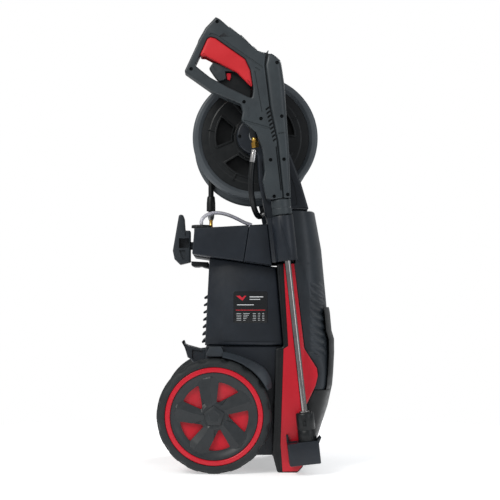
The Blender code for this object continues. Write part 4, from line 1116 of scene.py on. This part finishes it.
def make_lance():
    tube = [
        (0, -LANCE_LENGTH), (LANCE_R, -LANCE_LENGTH), (LANCE_R, LANCE_IN_GUN), (0, LANCE_IN_GUN)
    ]  # fmt: skip
    piece(
        "lance_pipe", lathe(tube, "Z", steps=48), chrome, nodes=["lance_tube"],
        place=GUN,
    )  # fmt: skip
    bore = LANCE_R + GAP
    collar = [
        (bore, 0.0008), (0.0165, 0.0008), (0.0185, 0.0030), (0.0185, 0.0135), (0.0179, 0.0142),
        (0.0179, 0.0157), (0.0185, 0.0164), (0.0185, 0.0290), (0.0170, 0.0305), (bore, 0.0305),
    ]  # fmt: skip
    piece(
        "barrel_collar", lathe(collar, "Z", corner=0.0006), grey_nylon, nodes=["muzzle_collar"],
        place=GUN,
    )  # fmt: skip


def make_nozzle():
    """The twist nozzle: a grip with flutes, a latch window and a brass tip."""
    top, low = -0.370, -0.4515
    bore = LANCE_R + 0.0004

    def flutes(r, h, a):
        if r < NOZZLE_R - 0.0004 or not low + 0.008 < h < low + 0.036:
            return r
        return r - 0.0006 * (0.5 + 0.5 * math.cos(a * 24))

    body = [
        (bore, top), (NOZZLE_R - 0.0022, top), (NOZZLE_R - 0.0006, top - 0.0016),
        (NOZZLE_R, top - 0.0040), (NOZZLE_R, top - 0.0300), (NOZZLE_R - 0.0005, top - 0.0306),
        (NOZZLE_R - 0.0005, top - 0.0330), (NOZZLE_R, top - 0.0336), (NOZZLE_R, low + 0.0380),
        (NOZZLE_R, low + 0.0350), (NOZZLE_R, low + 0.0090), (NOZZLE_R, low + 0.0050),
        (NOZZLE_R - 0.003, low), (0.0088, low), (0.0088, low + 0.014), (0, low + 0.014),
        (0, -0.4005), (bore, -0.4005),
    ]  # fmt: skip
    window = mm((-6.2, -381), (0.4, -381), (0.4, -394), (-6.2, -394))
    latch = box((-0.0052, -0.0172, -0.3892), (-0.0006, -0.0140, -0.3858), 0.0004)
    piece(
        "twist_nozzle", lathe(body, "Z", ripple=flutes, steps=144), black_nylon, "nozzle",
        ["nozzle_body"], GUN,
        cut=[plate(window, -0.03, -0.0148, corner=0.0010)], angle=40,
    )  # fmt: skip
    piece("nozzle_latch", latch, black_nylon, "nozzle", place=GUN)
    ring = [(bore, -0.3699), (0.0098, -0.3699), (0.0098, -0.3676), (0.0090, -0.3668), (bore, -0.3668)]
    piece(
        "nozzle_ring", lathe(ring, "Z", corner=0.0004, steps=64), chrome, "nozzle",
        place=GUN,
    )  # fmt: skip
    tip = [
        (0.0020, low + 0.002), (0.0060, low + 0.002), (0.0084, low + 0.004), (0.0084, low + 0.0135),
        (0, low + 0.0135), (0, low + 0.008), (0.0020, low + 0.008),
    ]  # fmt: skip
    piece("spray_tip", lathe(tip, "Z", steps=48), brass, "nozzle", ["nozzle_tip"], GUN)


def make_socket():
    """The holster sleeve on the neck, with a sunk V on its near face."""
    back, front = 0.0397, 0.0250
    outer = 0.0197
    cover_side = 0.0354
    plan = [(-0.0283, back), (-0.0283, front), (-outer - 0.001, front - 0.001)]
    plan += arc((0, 0), outer, 184, 356, 24)
    plan += [(outer, front), (outer, cover_side), (0.0150, cover_side), (0.0150, back)]
    plan = fillet(plan, 0.0015)
    levels = []
    for z, k in ((-0.0845, 0.985), (-0.0835, 1.0), (-0.0012, 1.0), (-0.0003, 0.985)):
        levels.append([(x * k, y if y > 0.03 else y * k, z) for x, y in plan])
    bore = lathe([(0, -0.11), (0.0174, -0.11), (0.0174, 0.02), (0, 0.02)], "Z", steps=64)
    vee = mm((-11, -12), (-6, -12), (9, -80), (3.5, -80))
    relief = plate(vee, -0.03, -0.0186, corner=0.0015)
    piece(
        "lance_holster", loft(levels), satin_abs, nodes=["gun_socket"], place=GUN,
        cut=[bore, relief], angle=40,
    )  # fmt: skip


def make_cup():
    low, top = -0.4655, -0.4225
    back, front = 0.0210, -0.0220
    body = box((-0.0385, front, low), (0.0195, back, top), 0.0022, 0.0025)
    arm = box((-0.0385, back - 0.006, top - 0.004), (-0.0345, back, top + 0.013), 0.0008, 0.0008)
    lip = plate(
        [(0.0166, top - 0.006), (0.0195, top - 0.006), (0.0255, top + 0.005), (0.0240, top + 0.006),
         (0.0166, top - 0.001)], front + 0.004, back - 0.004, 0.0004, 0.0008,
    )  # fmt: skip
    hollow = box((-0.0178, front + 0.0020, low + 0.004), (0.0176, back - 0.0016, top + 0.03), corner=0.002)
    step = box((-0.0400, front - 0.002, top - 0.0016), (-0.0205, front + 0.030, top + 0.002))
    piece(
        "nozzle_holder", body, satin_abs, nodes=["nozzle_cup"], place=GUN,
        join=[arm, lip], cut=[hollow, step],
    )  # fmt: skip


def make_gun():
    make_gun_halves()
    make_backstrap()
    make_barrel_cover()
    make_seam_painted_shade()
    make_grip_insert()
    make_trigger()
    make_gun_inlet()
    make_inlet_boss()
    make_lance()
    make_nozzle()
    make_socket()
    make_cup()


make_gun()


# Shelf, tank and hooks


def shelf_top(x):
    return 0.4678 + 0.0560 * x


def shelf_bottom(x):
    return shelf_top(x) - 0.0490 - 0.2030 * (x + 0.1054)


def make_tank():
    rear_top, rear_low, front_top, front_low = -0.1009, -0.1054, 0.0030, -0.0080
    outline = [
        (rear_top, shelf_top(rear_top)), (rear_low, shelf_bottom(rear_low)),
        (front_low, shelf_bottom(front_low)), (front_top, shelf_top(front_top)),
    ]  # fmt: skip
    inset = 0.0030
    inner = [
        (rear_top + inset, shelf_top(rear_top + inset) - inset),
        (rear_low + inset, shelf_bottom(rear_low) + inset),
        (front_low - inset, shelf_bottom(front_low) + inset),
        (front_top - inset, shelf_top(front_top) - inset),
    ]  # fmt: skip
    mouth = lathe([(0, 0.445), (0.0145, 0.445), (0.0145, 0.480), (0, 0.480)], "Z", (-0.0885, -0.1, 0), 64)
    cuts = [plate(inner, 0.0030 - SHELF_HALF, SHELF_HALF - 0.0030), mouth]
    piece(
        "detergent_tank_shell", plate(outline, -SHELF_HALF, SHELF_HALF, 0.0024, 0.0030, steps=4),
        satin_abs, nodes=["detergent_tank"], cut=cuts,
    )  # fmt: skip


def make_bracket():
    neck = [(0.0376 + (0.4715 - z) * math.tan(LEAN), z) for z in (0.470, 0.3895)]
    top_x, low_x = 0.0036, -0.0074
    outline = [
        (top_x, shelf_top(top_x)), (low_x, shelf_bottom(low_x)),
        (neck[1][0] - 0.0007, shelf_bottom(neck[1][0])), (neck[0][0] - 0.0007, shelf_top(neck[0][0])),
    ]  # fmt: skip
    piece(
        "shelf_bracket_cover", plate(outline, -SHELF_HALF, SHELF_HALF, 0.0018, 0.0010, steps=4),
        satin_abs, nodes=["shelf_bracket"],
    )  # fmt: skip


def make_filler_cap():
    seat = 0.46421
    top = seat + 0.0057

    def knurl(r, h, a):
        return r - 0.0005 * (0.5 + 0.5 * math.cos(40 * a)) if r > 0.0186 and h < top - 0.0009 else r

    profile = [
        (0, seat - 0.012), (0.0139, seat - 0.012), (0.0139, seat), (0.0190, seat),
        (0.0190, seat + 0.0044), (0.0182, top - 0.0003), (0.0172, top), (0.0085, top),
        (0.0078, top - 0.0012), (0.0045, top - 0.0012), (0.0042, top), (0, top),
    ]  # fmt: skip
    piece(
        "filler_cap", lathe(profile, "Z", (-0.0885, -0.100, 0), 160, ripple=knurl), black_nylon,
        "detergent_cap", ["detergent_cap"],
    )  # fmt: skip


def make_upper_hook():
    """The upper cord hook: a fin above its block, a tail below, and a square well in each side."""
    at = Matrix.Translation((-0.1054, 0, 0.434))
    wing = mm(
        (-29.5, 60), (-26, 62), (-21, 61), (-18.2, 54), (-16.5, 30), (-6, 30), (-6, -33), (-27, -38),
        (-38, -27), (-41.5, -10),
    )  # fmt: skip
    wells = []
    for side in SIDES.values():
        low, high = sorted((side * 0.0160, side * 0.03))
        deep = sorted((side * 0.0040, side * 0.03))
        wells.append(plate(mm((-29, -5), (-29, 14.5), (-9, 14.5), (-9, -5)), *deep, corner=0.0008))
        wells.append(plate(mm((-29, -9), (-16, -9), (-17, -28), (-22, -28)), low, high, corner=0.0010))
        wells.append(strip((-0.0165, 0.0295), (-0.0165, 0.0190), 0.0014, low, high))
    stub = lathe([(0, -0.008), (0.008, -0.008), (0.008, 0.0005), (0, 0.0005)], "X", steps=48)
    piece(
        "upper_hook", plate(wing, -0.020, 0.020, 0.0030, 0.0030, steps=4), shell_abs, "upper_cord_hook",
        ["upper_cord_hook"], at, cut=wells, join=[stub],
    )  # fmt: skip


def make_cord_bar():
    outline = mm(
        (-109.5, 402.0), (-109.0, 394.0), (-104.0, 391.6), (-96.0, 391.4), (-90.0, 392.6), (-83.0, 390.0),
        (-75.5, 388.7), (-75.5, 400.4),
    )  # fmt: skip
    piece(
        "cord_bar", plate(outline, -0.045, 0.045, 0.0010, 0.0010), black_nylon,
        nodes=["cord_guide_bar"],
    )  # fmt: skip


def make_outlet_fitting():
    """The brass outlet: a seat, a waist, a nut, and the crimped end under the hose."""
    seat = 0.46454
    x, y = -0.0718, 0.0752
    profile = [
        (0, seat), (0.0080, seat), (0.0080, seat + 0.005), (0.0070, seat + 0.006),
        (0.0042, seat + 0.007), (0.0042, seat + 0.012), (0.0036, seat + 0.013), (0.0036, seat + 0.024),
        (0.0042, seat + 0.0245), (0.0042, seat + 0.0260), (0, seat + 0.0260),
    ]  # fmt: skip
    grip = [(0, seat + 0.0262), (0.0050, seat + 0.0262), (0.0066, 0.4955), (0.0070, 0.5010), (0, 0.5010)]
    piece(
        "outlet_union", lathe(profile, "Z", (x, y, 0), 48), brass, nodes=["outlet_fitting"],
    )  # fmt: skip
    piece("outlet_crimp", lathe(grip, "Z", (x, y, 0), 48), zinc_steel)


make_tank()
make_bracket()
make_filler_cap()
make_upper_hook()
make_cord_bar()
make_outlet_fitting()


# Chassis, side frames and fenders


def make_side_frames():
    outline = mm(
        (55.3, 395.2), (68.3, 236.5), (53.2, 234.5), (46.2, 36.8), (55.8, 0), (94, 0), (104.4, 11),
        (108.5, 120), (129, 164), (133.5, 183), (131.5, 197.5), (108.3, 234.5), (88, 395.2),
    )  # fmt: skip
    bead = mm(
        (58.0, 393.0), (60.2, 393.0), (72.2, 238.0), (62.5, 231.5), (55.6, 37), (63.5, 3), (60.8, 3),
        (52.0, 36.8), (58.6, 232.8), (70.0, 235.5),
    )  # fmt: skip
    for name, side in SIDES.items():
        low, high = sorted((side * FRAME_IN, side * FRAME_OUT))
        shade = sorted((side * (FRAME_OUT - 0.0011), side * (FRAME_OUT + 0.01)))
        piece(
            f"{name}_side_frame", plate(outline, low, high, 0.0022, 0.006, steps=4), black_nylon,
            nodes=[f"side_frame_{name}"], cut=[plate(bead, *shade)],
        )  # fmt: skip


def make_side_panels():
    """The coloured side panels, folded along a ridge that runs from top to foot."""
    left = mm(
        (87, 394.6), (67.8, 394.6), (76.6, 239), (67.8, 233.4), (61.9, 53.8), (65.5, 2.4), (82, 2.9)
    )
    ridge = mm((82, 2.9), (91.5, 60), (99.6, 118), (92.2, 340), (87, 394.6))
    right = mm(
        (82, 2.9), (94, 3.2), (103.0, 13), (107.2, 120.9), (128, 164.6), (132.4, 183.2),
        (130.4, 197), (107.2, 233.4), (105.6, 240), (87.6, 394.6), (87, 394.6),
    )  # fmt: skip
    back, rim, crest = FRAME_OUT + GAP, PANEL_OUT - 0.0012, PANEL_OUT + 0.0012
    for name, side in SIDES.items():
        bm = bmesh.new()
        middle = [
            bm.verts.new((x, side * (crest if 0 < i < 4 else rim), z))
            for i, (x, z) in enumerate(ridge)
        ]
        west = [bm.verts.new((x, side * rim, z)) for x, z in left[1:-1]]
        east = [bm.verts.new((x, side * rim, z)) for x, z in right[1:-1]]
        flat_fill(bm, [[*west, *middle]])
        flat_fill(bm, [[*middle, *east[::-1]]])
        rims = [e for e in bm.edges if e.is_boundary]
        made = bmesh.ops.extrude_edge_only(bm, edges=rims)["geom"]
        for v in made:
            if isinstance(v, bmesh.types.BMVert):
                v.co.y = side * back
        loops = [e for e in bm.edges if e.is_boundary]
        bmesh.ops.triangle_fill(bm, edges=loops, use_beauty=True)
        piece(
            f"{name}_side_panel", bm, red_abs, nodes=[f"side_panel_{name}"],
            edge=0.0011, angle=16,
        )  # fmt: skip


def make_fenders():
    """A crescent over each wheel, its face sloping back to its outer edge, with a straight foot."""
    radii = [
        (26, 120.5), (30, 125.0), (34, 128.2), (39, 130.0), (44, 130.3), (50, 127.8), (57, 124.7),
        (65, 122.3), (74, 121.4), (82, 121.7),
    ]  # fmt: skip
    inner = TYRE_R + 0.0025
    root = TUB_HALF + GAP
    for name, side in SIDES.items():
        sections = []
        for i in range(57):
            angle = 26 + i
            k = next(k for k in range(9) if angle <= radii[k + 1][0])
            (a, ra), (b, rb) = radii[k], radii[k + 1]
            outer = (ra + (rb - ra) * (angle - a) / (b - a)) / 1000
            c, d = math.cos(math.radians(angle)), math.sin(math.radians(angle))
            slope = min(0.0110, (outer - inner) * 0.75)
            rows = [
                (inner, root), (inner, 0.1590), (inner + 0.0012, 0.1600),
                (inner + 0.0026, 0.1597), (outer - 0.0012, 0.1597 - slope),
                (outer, 0.1583 - slope), (outer, root),
            ]  # fmt: skip
            sections.append([(WHEEL.x + r * c, side * y, WHEEL.z + r * d) for r, y in rows])
        foot = mm(
            (-50.0, 238), (-72.0, 237.5), (-79.6, 221.5), (-75, 219), (-60, 219), (-46.5, 219),
            (-46.5, 229.6),
        )  # fmt: skip
        low, high = sorted((side * root, side * 0.1520))
        piece(
            f"{name}_fender", loft(sections), shell_abs, nodes=[f"fender_{name}"],
            join=[plate(foot, low, high, 0.0016, 0.002)],
        )  # fmt: skip


def make_lower_hook():
    outline = mm(
        (-127.6, 247), (-124, 239.5), (-117, 236), (-92.5, 229.2), (-80.3, 230.5), (-80.3, 198.5),
        (-95, 196.5), (-105.6, 201.4), (-110.5, 209), (-117, 212.8), (-119.5, 222),
    )  # fmt: skip
    wells = []
    for side in SIDES.values():
        low, high = sorted((side * 0.029, side * 0.05))
        well = mm((-108, 211), (-103, 206), (-86, 203.5), (-86, 224.5), (-108, 229))
        wells.append(plate(well, low, high, corner=0.002))
    piece(
        "lower_hook", plate(outline, -0.032, 0.032, 0.0024, 0.0022, steps=4), shell_abs,
        nodes=["lower_cord_hook"], cut=wells,
    )  # fmt: skip


# Motor housing


def housing_section(inset, roof, rear, front):
    """A rectangle in plan with its rear corners cut off, at the height that roof gives."""
    run, rise = 0.038, 0.018
    half = HOUSING_HALF - inset
    rear, front = rear + inset, front - inset
    plan = [
        (front, -half), (rear + run, -half), (rear, -half + rise), (rear, half - rise),
        (rear + run, half), (front, half),
    ]  # fmt: skip
    return [(x, y, roof(x)) for x, y in plan]


def make_housing():
    low_z, wall = 0.2388, 0.003
    outside = loft([
        housing_section(0, lambda x: low_z, -0.0815, 0.0677),
        housing_section(0, lambda x: shelf_bottom(x) - GAP, -0.0730, 0.0547),
    ])  # fmt: skip
    inside = loft([
        housing_section(wall, lambda x: low_z - 0.01, -0.0815, 0.0680),
        housing_section(wall, lambda x: shelf_bottom(x) - GAP - wall, -0.0730, 0.0550),
    ])  # fmt: skip
    fins = []
    for i in range(7):
        z = low_z + 0.0057 + i * 0.0142
        wall_x = -0.0815 + 0.0085 * i * 0.0142 / 0.16
        tip = wall_x - 0.0065
        fin = [(wall_x + 0.002, z), (tip + 0.001, z - 0.002), (tip, z), (tip, z + 0.001),
               (tip + 0.0012, z + 0.0024), (wall_x + 0.002, z + 0.0075)]  # fmt: skip
        fins.append(plate(fin, -0.078, 0.078))
    shell = raw_object("housing_blank", outside)
    made = shell.modifiers.new("Bevel", "BEVEL")
    made.width, made.segments = 0.0040, 4
    settle(shell)
    bm = bmesh.new()
    bm.from_mesh(shell.data)
    bpy.data.objects.remove(shell)
    seam = plate(
        mm((-90, 246.5), (80, 246.5), (80, 247.6), (-90, 247.6)), -0.13, 0.13
    )  # fmt: skip
    core = box((-0.0795, -0.1168, 0.2400), (0.0900, 0.1168, 0.2550))
    ring = raw_object("seam", seam)
    carve(ring, [core])
    seam = bmesh.new()
    seam.from_mesh(ring.data)
    bpy.data.objects.remove(ring)
    piece(
        "motor_cowl", bm, satin_abs, nodes=["motor_housing"], cut=[inside, seam],
        join=fins,
    )  # fmt: skip


def make_rating_plate():
    """A plain black plate on the cowl with a chevron, a rule and rows of blank marks."""
    y = -HOUSING_HALF
    outline = mm((-26.9, 282.6), (-26.9, 342.2), (38.2, 342.2), (38.2, 282.6))
    piece(
        "cowl_plate", plate(outline, y - 0.0007, y + 0.0005, 0.0003, 0.0025), gloss_film,
    )  # fmt: skip
    face = (y - 0.0010, y - 0.0006)
    chevron = mm((-22, 334), (-14, 334), (-10, 330), (-6, 334), (-2, 334), (-10, 324.5))
    rule = mm((-22.5, 306), (33.5, 306), (33.5, 307.2), (-22.5, 307.2))
    emblem = merged(plate(chevron, *face), plate(rule, *face))
    piece("cowl_plate_emblem", emblem, red_film)
    marks = []
    for low, high, left, right in ((331, 332.8, 4, 30), (326.4, 327.8, 4, 24), (316, 317.4, -20, 12)):
        marks.append(plate(mm((left, low), (right, low), (right, high), (left, high)), *face))
    for row in range(5):
        z = 300.5 - row * 3.2
        for column, width in ((-21, 9), (-8, 12 - 2 * row), (10, 6), (20, 4), (28, 4)):
            mark = mm((column, z - 0.7), (column + width, z - 0.7), (column + width, z), (column, z))
            marks.append(plate(mark, *face))
    piece("cowl_plate_marks", merged(*marks), white_film)


# Front covers

COVER_REAR = mm(
    (499, 84.6), (396.5, 91.2), (395, 89.0), (234.5, 109.4), (197.5, 132.6),
    (183, 134.6), (164, 130.0), (155, 126.4), (120, 110.6), (50, 107.5),
)  # fmt: skip
COVER_NOSE = mm(
    (499, 133), (424.4, 146.6), (319.2, 156.4), (300, 157.5), (266.8, 159.6),
    (250, 163.6), (224, 164.6), (162.8, 160.6), (155, 159.2),
)  # fmt: skip
LOWER_NOSE = mm(
    (312, 161.4), (302, 163.4), (266.8, 166.6), (250, 171.6), (224, 171.6),
    (162.8, 166.8), (122, 158.4), (58.6, 137),
)  # fmt: skip
COVER_HALF = mm((499, 124.5), (396, 129), (300, 131), (155, 129), (58.6, 120))


def between(table, value):
    """Linear interpolation in a table of (key, value) rows, sorted by falling key."""
    for (key_a, a), (key_b, b) in zip(table, table[1:]):
        if value >= key_b:
            return a + (b - a) * (key_a - value) / (key_a - key_b)
    return table[-1][1]


def shell_section(z, rear, nose, half, start, wall, steps, press=None):
    """A U in plan at height z, open to the rear. press gives how far its skin is sunk at (x, z)."""
    power = 3.2

    def side(inset):
        length = nose - inset - rear
        share = max(0.0, (start - rear) / length) ** (power / 2)
        first = math.asin(min(1, share))
        points = []
        for i in range(steps + 1):
            angle = first + (math.pi / 2 - first) * i / steps
            x = rear + length * math.sin(angle) ** (2 / power)
            points.append((x, (half - inset) * max(0.0, math.cos(angle)) ** (2 / power)))
        return points

    outer, inner = side(0), side(wall)
    if press:
        sunk = []
        for i, (x, y) in enumerate(outer):
            ax, ay = outer[max(0, i - 1)]
            bx, by = outer[min(steps, i + 1)]
            length = math.hypot(bx - ax, by - ay) or 1
            depth = press(x, z) if 0 < i < steps - 2 else 0
            sunk.append((x + (by - ay) / length * depth, y - (bx - ax) / length * depth))
        outer = sunk
    loop = [(x, -y) for x, y in outer] + outer[-2::-1] + inner + [(x, -y) for x, y in inner[-2::-1]]
    return [(x, y, z) for x, y in loop]


def cover_relief(x, z):
    """The shoulder that runs down the front shell, and its slanted air slots below it."""
    crease = between(mm((499, 88), (417, 94), (385, 106), (345, 114), (150, 122)), z)
    sink = 0.0010 * (1 - smooth_step(crease - 0.0008, crease + 0.0008, x))
    if 0.215 < z < 0.362 and x > 0.1195:
        phase = ((z + 0.55 * (x - 0.12)) / 0.0146) % 1
        slot = smooth_step(0.10, 0.30, phase) * (1 - smooth_step(0.62, 0.74, phase))
        ends = smooth_step(0.1195, 0.1225, x) * (1 - smooth_step(0.1475, 0.1505, x))
        ends *= smooth_step(0.215, 0.221, z) * (1 - smooth_step(0.356, 0.362, z))
        sink = max(sink, 0.0019 * slot * ends)
    return sink


def heights(top, low, keys, spacing):
    """Levels from top down to low that take in every key."""
    stops = sorted({top, low, *(k for k in keys if low < k < top)}, reverse=True)
    levels = []
    for a, b in zip(stops, stops[1:]):
        count = max(1, math.ceil((a - b) / spacing))
        levels += [a + (b - a) * i / count for i in range(count)]
    return [*levels, low]


def make_front_cover():
    top, low = 0.4978, 0.1560
    sections = []
    for z in heights(top, low, [z for z, _ in COVER_REAR + COVER_NOSE], 0.0022):
        rear = between(COVER_REAR, z)
        nose, half = between(COVER_NOSE, z), between(COVER_HALF, z)
        if z > top - 0.0030:
            tuck = 0.0030 - math.sqrt(max(0.0, 0.0030**2 - (z - top + 0.0030) ** 2))
            nose, half = nose - tuck, half - tuck
        sections.append(shell_section(z, rear, nose, half, rear, 0.003, 44, cover_relief))
    lid = [(x, y) for x, y, _ in sections[0][:89]]
    cap = loft([[(x, y, z) for x, y in lid] for z in (top - 0.003, top)])
    piece(
        "front_shell", loft(sections), shell_abs, nodes=["front_cover"],
        join=[cap], angle=28,
    )  # fmt: skip


def make_lower_cover():
    """The lower front cover: a narrow wrap in front of the upper shell, full width below it."""
    low, mid = 0.0586, 0.1560
    keys = [z for z, _ in LOWER_NOSE + COVER_REAR]
    sections = []
    for z in heights(0.3120, mid - GAP, keys, 0.005):
        nose = between(LOWER_NOSE, z)
        sections.append(lower_section(z, nose, nose - 0.016))
    for z in heights(mid - 0.0012, low, keys, 0.006):
        sections.append(lower_section(z, between(LOWER_NOSE, z), 0))
    piece(
        "lower_front_shell", loft(sections), black_nylon, nodes=["front_lower_cover"],
        angle=28,
    )  # fmt: skip


def lower_section(z, nose, start):
    rear = between(COVER_REAR, z)
    half = between(COVER_HALF, z) + 0.003 + GAP
    return shell_section(z, rear, nose, half, max(start, rear), 0.003, 24)


# Fittings on the far side


def far_fitting(name, profile, place, finish, node, body="machine", join=(), corner=0.0, ripple=None):
    """A turned piece on the cowl's far side, its profile counted outwards from the wall."""
    placed = [(r, HOUSING_HALF + GAP + h) for r, h in profile]
    bm = lathe(placed, "Y", (place[0], 0, place[1]), 96, corner, ripple)
    piece(name, bm, finish, body, [node], join=join)


def make_far_fittings():
    inlet = [
        (0.0065, 0.010), (0.0065, 0.034), (0.0105, 0.034), (0.0105, 0.0320), (0.0098, 0.0312),
        (0.0098, 0.0290), (0.0105, 0.0282), (0.0105, 0.024), (0.0132, 0.022), (0.0132, 0.010),
        (0.0190, 0.008), (0.0190, 0), (0, 0), (0, 0.010),
    ]  # fmt: skip
    far_fitting("tap_inlet", inlet, (0.018, 0.290), brass, "water_inlet", corner=0.0003)

    def grip(r, h, a):
        return r - 0.0008 * (0.5 + 0.5 * math.cos(18 * a)) if 0.018 < r and h < HOUSING_HALF + 0.012 else r

    knob = [(0, 0.004), (0.021, 0.004), (0.021, 0.008), (0.0185, 0.0188), (0.0170, 0.020), (0, 0.020)]
    low = HOUSING_HALF + 0.019
    bar = plate(
        mm((-13.5, 334), (-6.5, 334), (-6.0, 352), (-7.5, 371), (-12.5, 371), (-14, 352)),
        low, low + 0.0073, 0.0008, 0.0012,
    )  # fmt: skip
    far_fitting(
        "power_switch", knob, (-0.010, 0.352), black_nylon, "switch_knob",
        "switch_knob", [bar], 0.0008, grip,
    )  # fmt: skip
    gland = [
        (0, 0), (0.0110, 0), (0.0110, 0.006), (0.0102, 0.0075), (0.0095, 0.0075), (0.0095, 0.0095),
        (0.0090, 0.0105), (0.0085, 0.014), (0.0045, 0.014), (0.0045, 0.004), (0, 0.004),
    ]  # fmt: skip
    far_fitting(
        "cable_bush", gland, (-0.022, 0.262), black_nylon, "mains_inlet_bush",
        corner=0.0004,
    )  # fmt: skip


# Printed film on the cowl plate: hard, even and glossy.
gloss_film = moulded("printed_film_black", "0E1012", "131518", 0.22, 0.04, 0.8, 0.004)
white_film = moulded("printed_film_white", "C9CCCE", "D4D7D8", 0.30, 0.04, 0.8, 0.004)
red_film = moulded("printed_film_red", "B81F2E", "C22635", 0.28, 0.04, 0.8, 0.004)


def finish_frame_parts():
    """The parts whose own shape is right take their finish here."""
    finishes = {
        "chassis_tub": satin_abs, "neck_back": satin_abs, "wheel_axle": zinc_steel,
        "motor_stator": zinc_steel, "motor_rotor": zinc_steel, "pump_body": cast_aluminium,
        "gun_valve": brass,
    }  # fmt: skip
    for node, finish in finishes.items():
        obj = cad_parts[node]
        for slot in obj.material_slots:
            slot.material = finish
        if not obj.material_slots:
            obj.data.materials.append(finish)


make_side_frames()
make_side_panels()
make_fenders()
make_lower_hook()
make_housing()
make_rating_plate()
make_front_cover()
make_lower_cover()
make_far_fittings()
finish_frame_parts()


# Floor and light


def make_floor():
    bm = bmesh.new()
    bmesh.ops.create_circle(bm, cap_ends=True, radius=1.0, segments=96)
    obj = raw_object("floor", bm)
    made, tree, where = new_finish("matt_studio_floor")
    haze = add(tree, "TexNoise", None, {"Vector": where, "Scale": per_mm(700), "Detail": 2.0})
    close_finish(tree, {
        "Base Color": blended(tree, "F0F1F2", "F4F5F6", haze), "Roughness": 0.85,
        "Emission Color": colour("FFFFFF"), "Emission Strength": 0.42,
    })  # fmt: skip
    obj.data.materials.append(made)


def area_light(name, place, aim, size, power, tint="FFFFFF"):
    data = bpy.data.lights.new(name, "AREA")
    data.shape = "RECTANGLE"
    data.size, data.size_y = size
    data.energy = power
    data.color = colour(tint)[:3]
    light = bpy.data.objects.new(name, data)
    light.location = place
    light.rotation_euler = (Vector(aim) - Vector(place)).to_track_quat("-Z", "Y").to_euler()
    bpy.context.scene.collection.objects.link(light)


def make_studio():
    world = bpy.data.worlds.new("studio")
    world.use_nodes = True
    tree = world.node_tree
    tree.nodes.clear()
    seen = add(tree, "Background", None, {"Color": colour("FFFFFF"), "Strength": 1.0})
    room = add(tree, "Background", None, {"Color": colour("F4F6F8"), "Strength": 0.42})
    ray = add(tree, "LightPath")
    sky = add(tree, "MixShader", None, {"Fac": (ray, "Is Camera Ray"), 1: room, 2: seen})
    add(tree, "OutputWorld", None, {"Surface": sky})
    bpy.context.scene.world = world
    middle = (0, 0, 0.45)
    area_light("key", (-1.6, -2.0, 2.2), middle, (1.4, 1.4), 62, "FFFDF9")
    area_light("fill", (1.9, -1.9, 1.1), middle, (1.2, 1.8), 12, "F6F9FF")
    area_light("rim", (0.9, 1.7, 1.9), middle, (1.4, 1.0), 26)
    bpy.context.scene.view_settings.view_transform = "Standard"


make_floor()
make_studio()
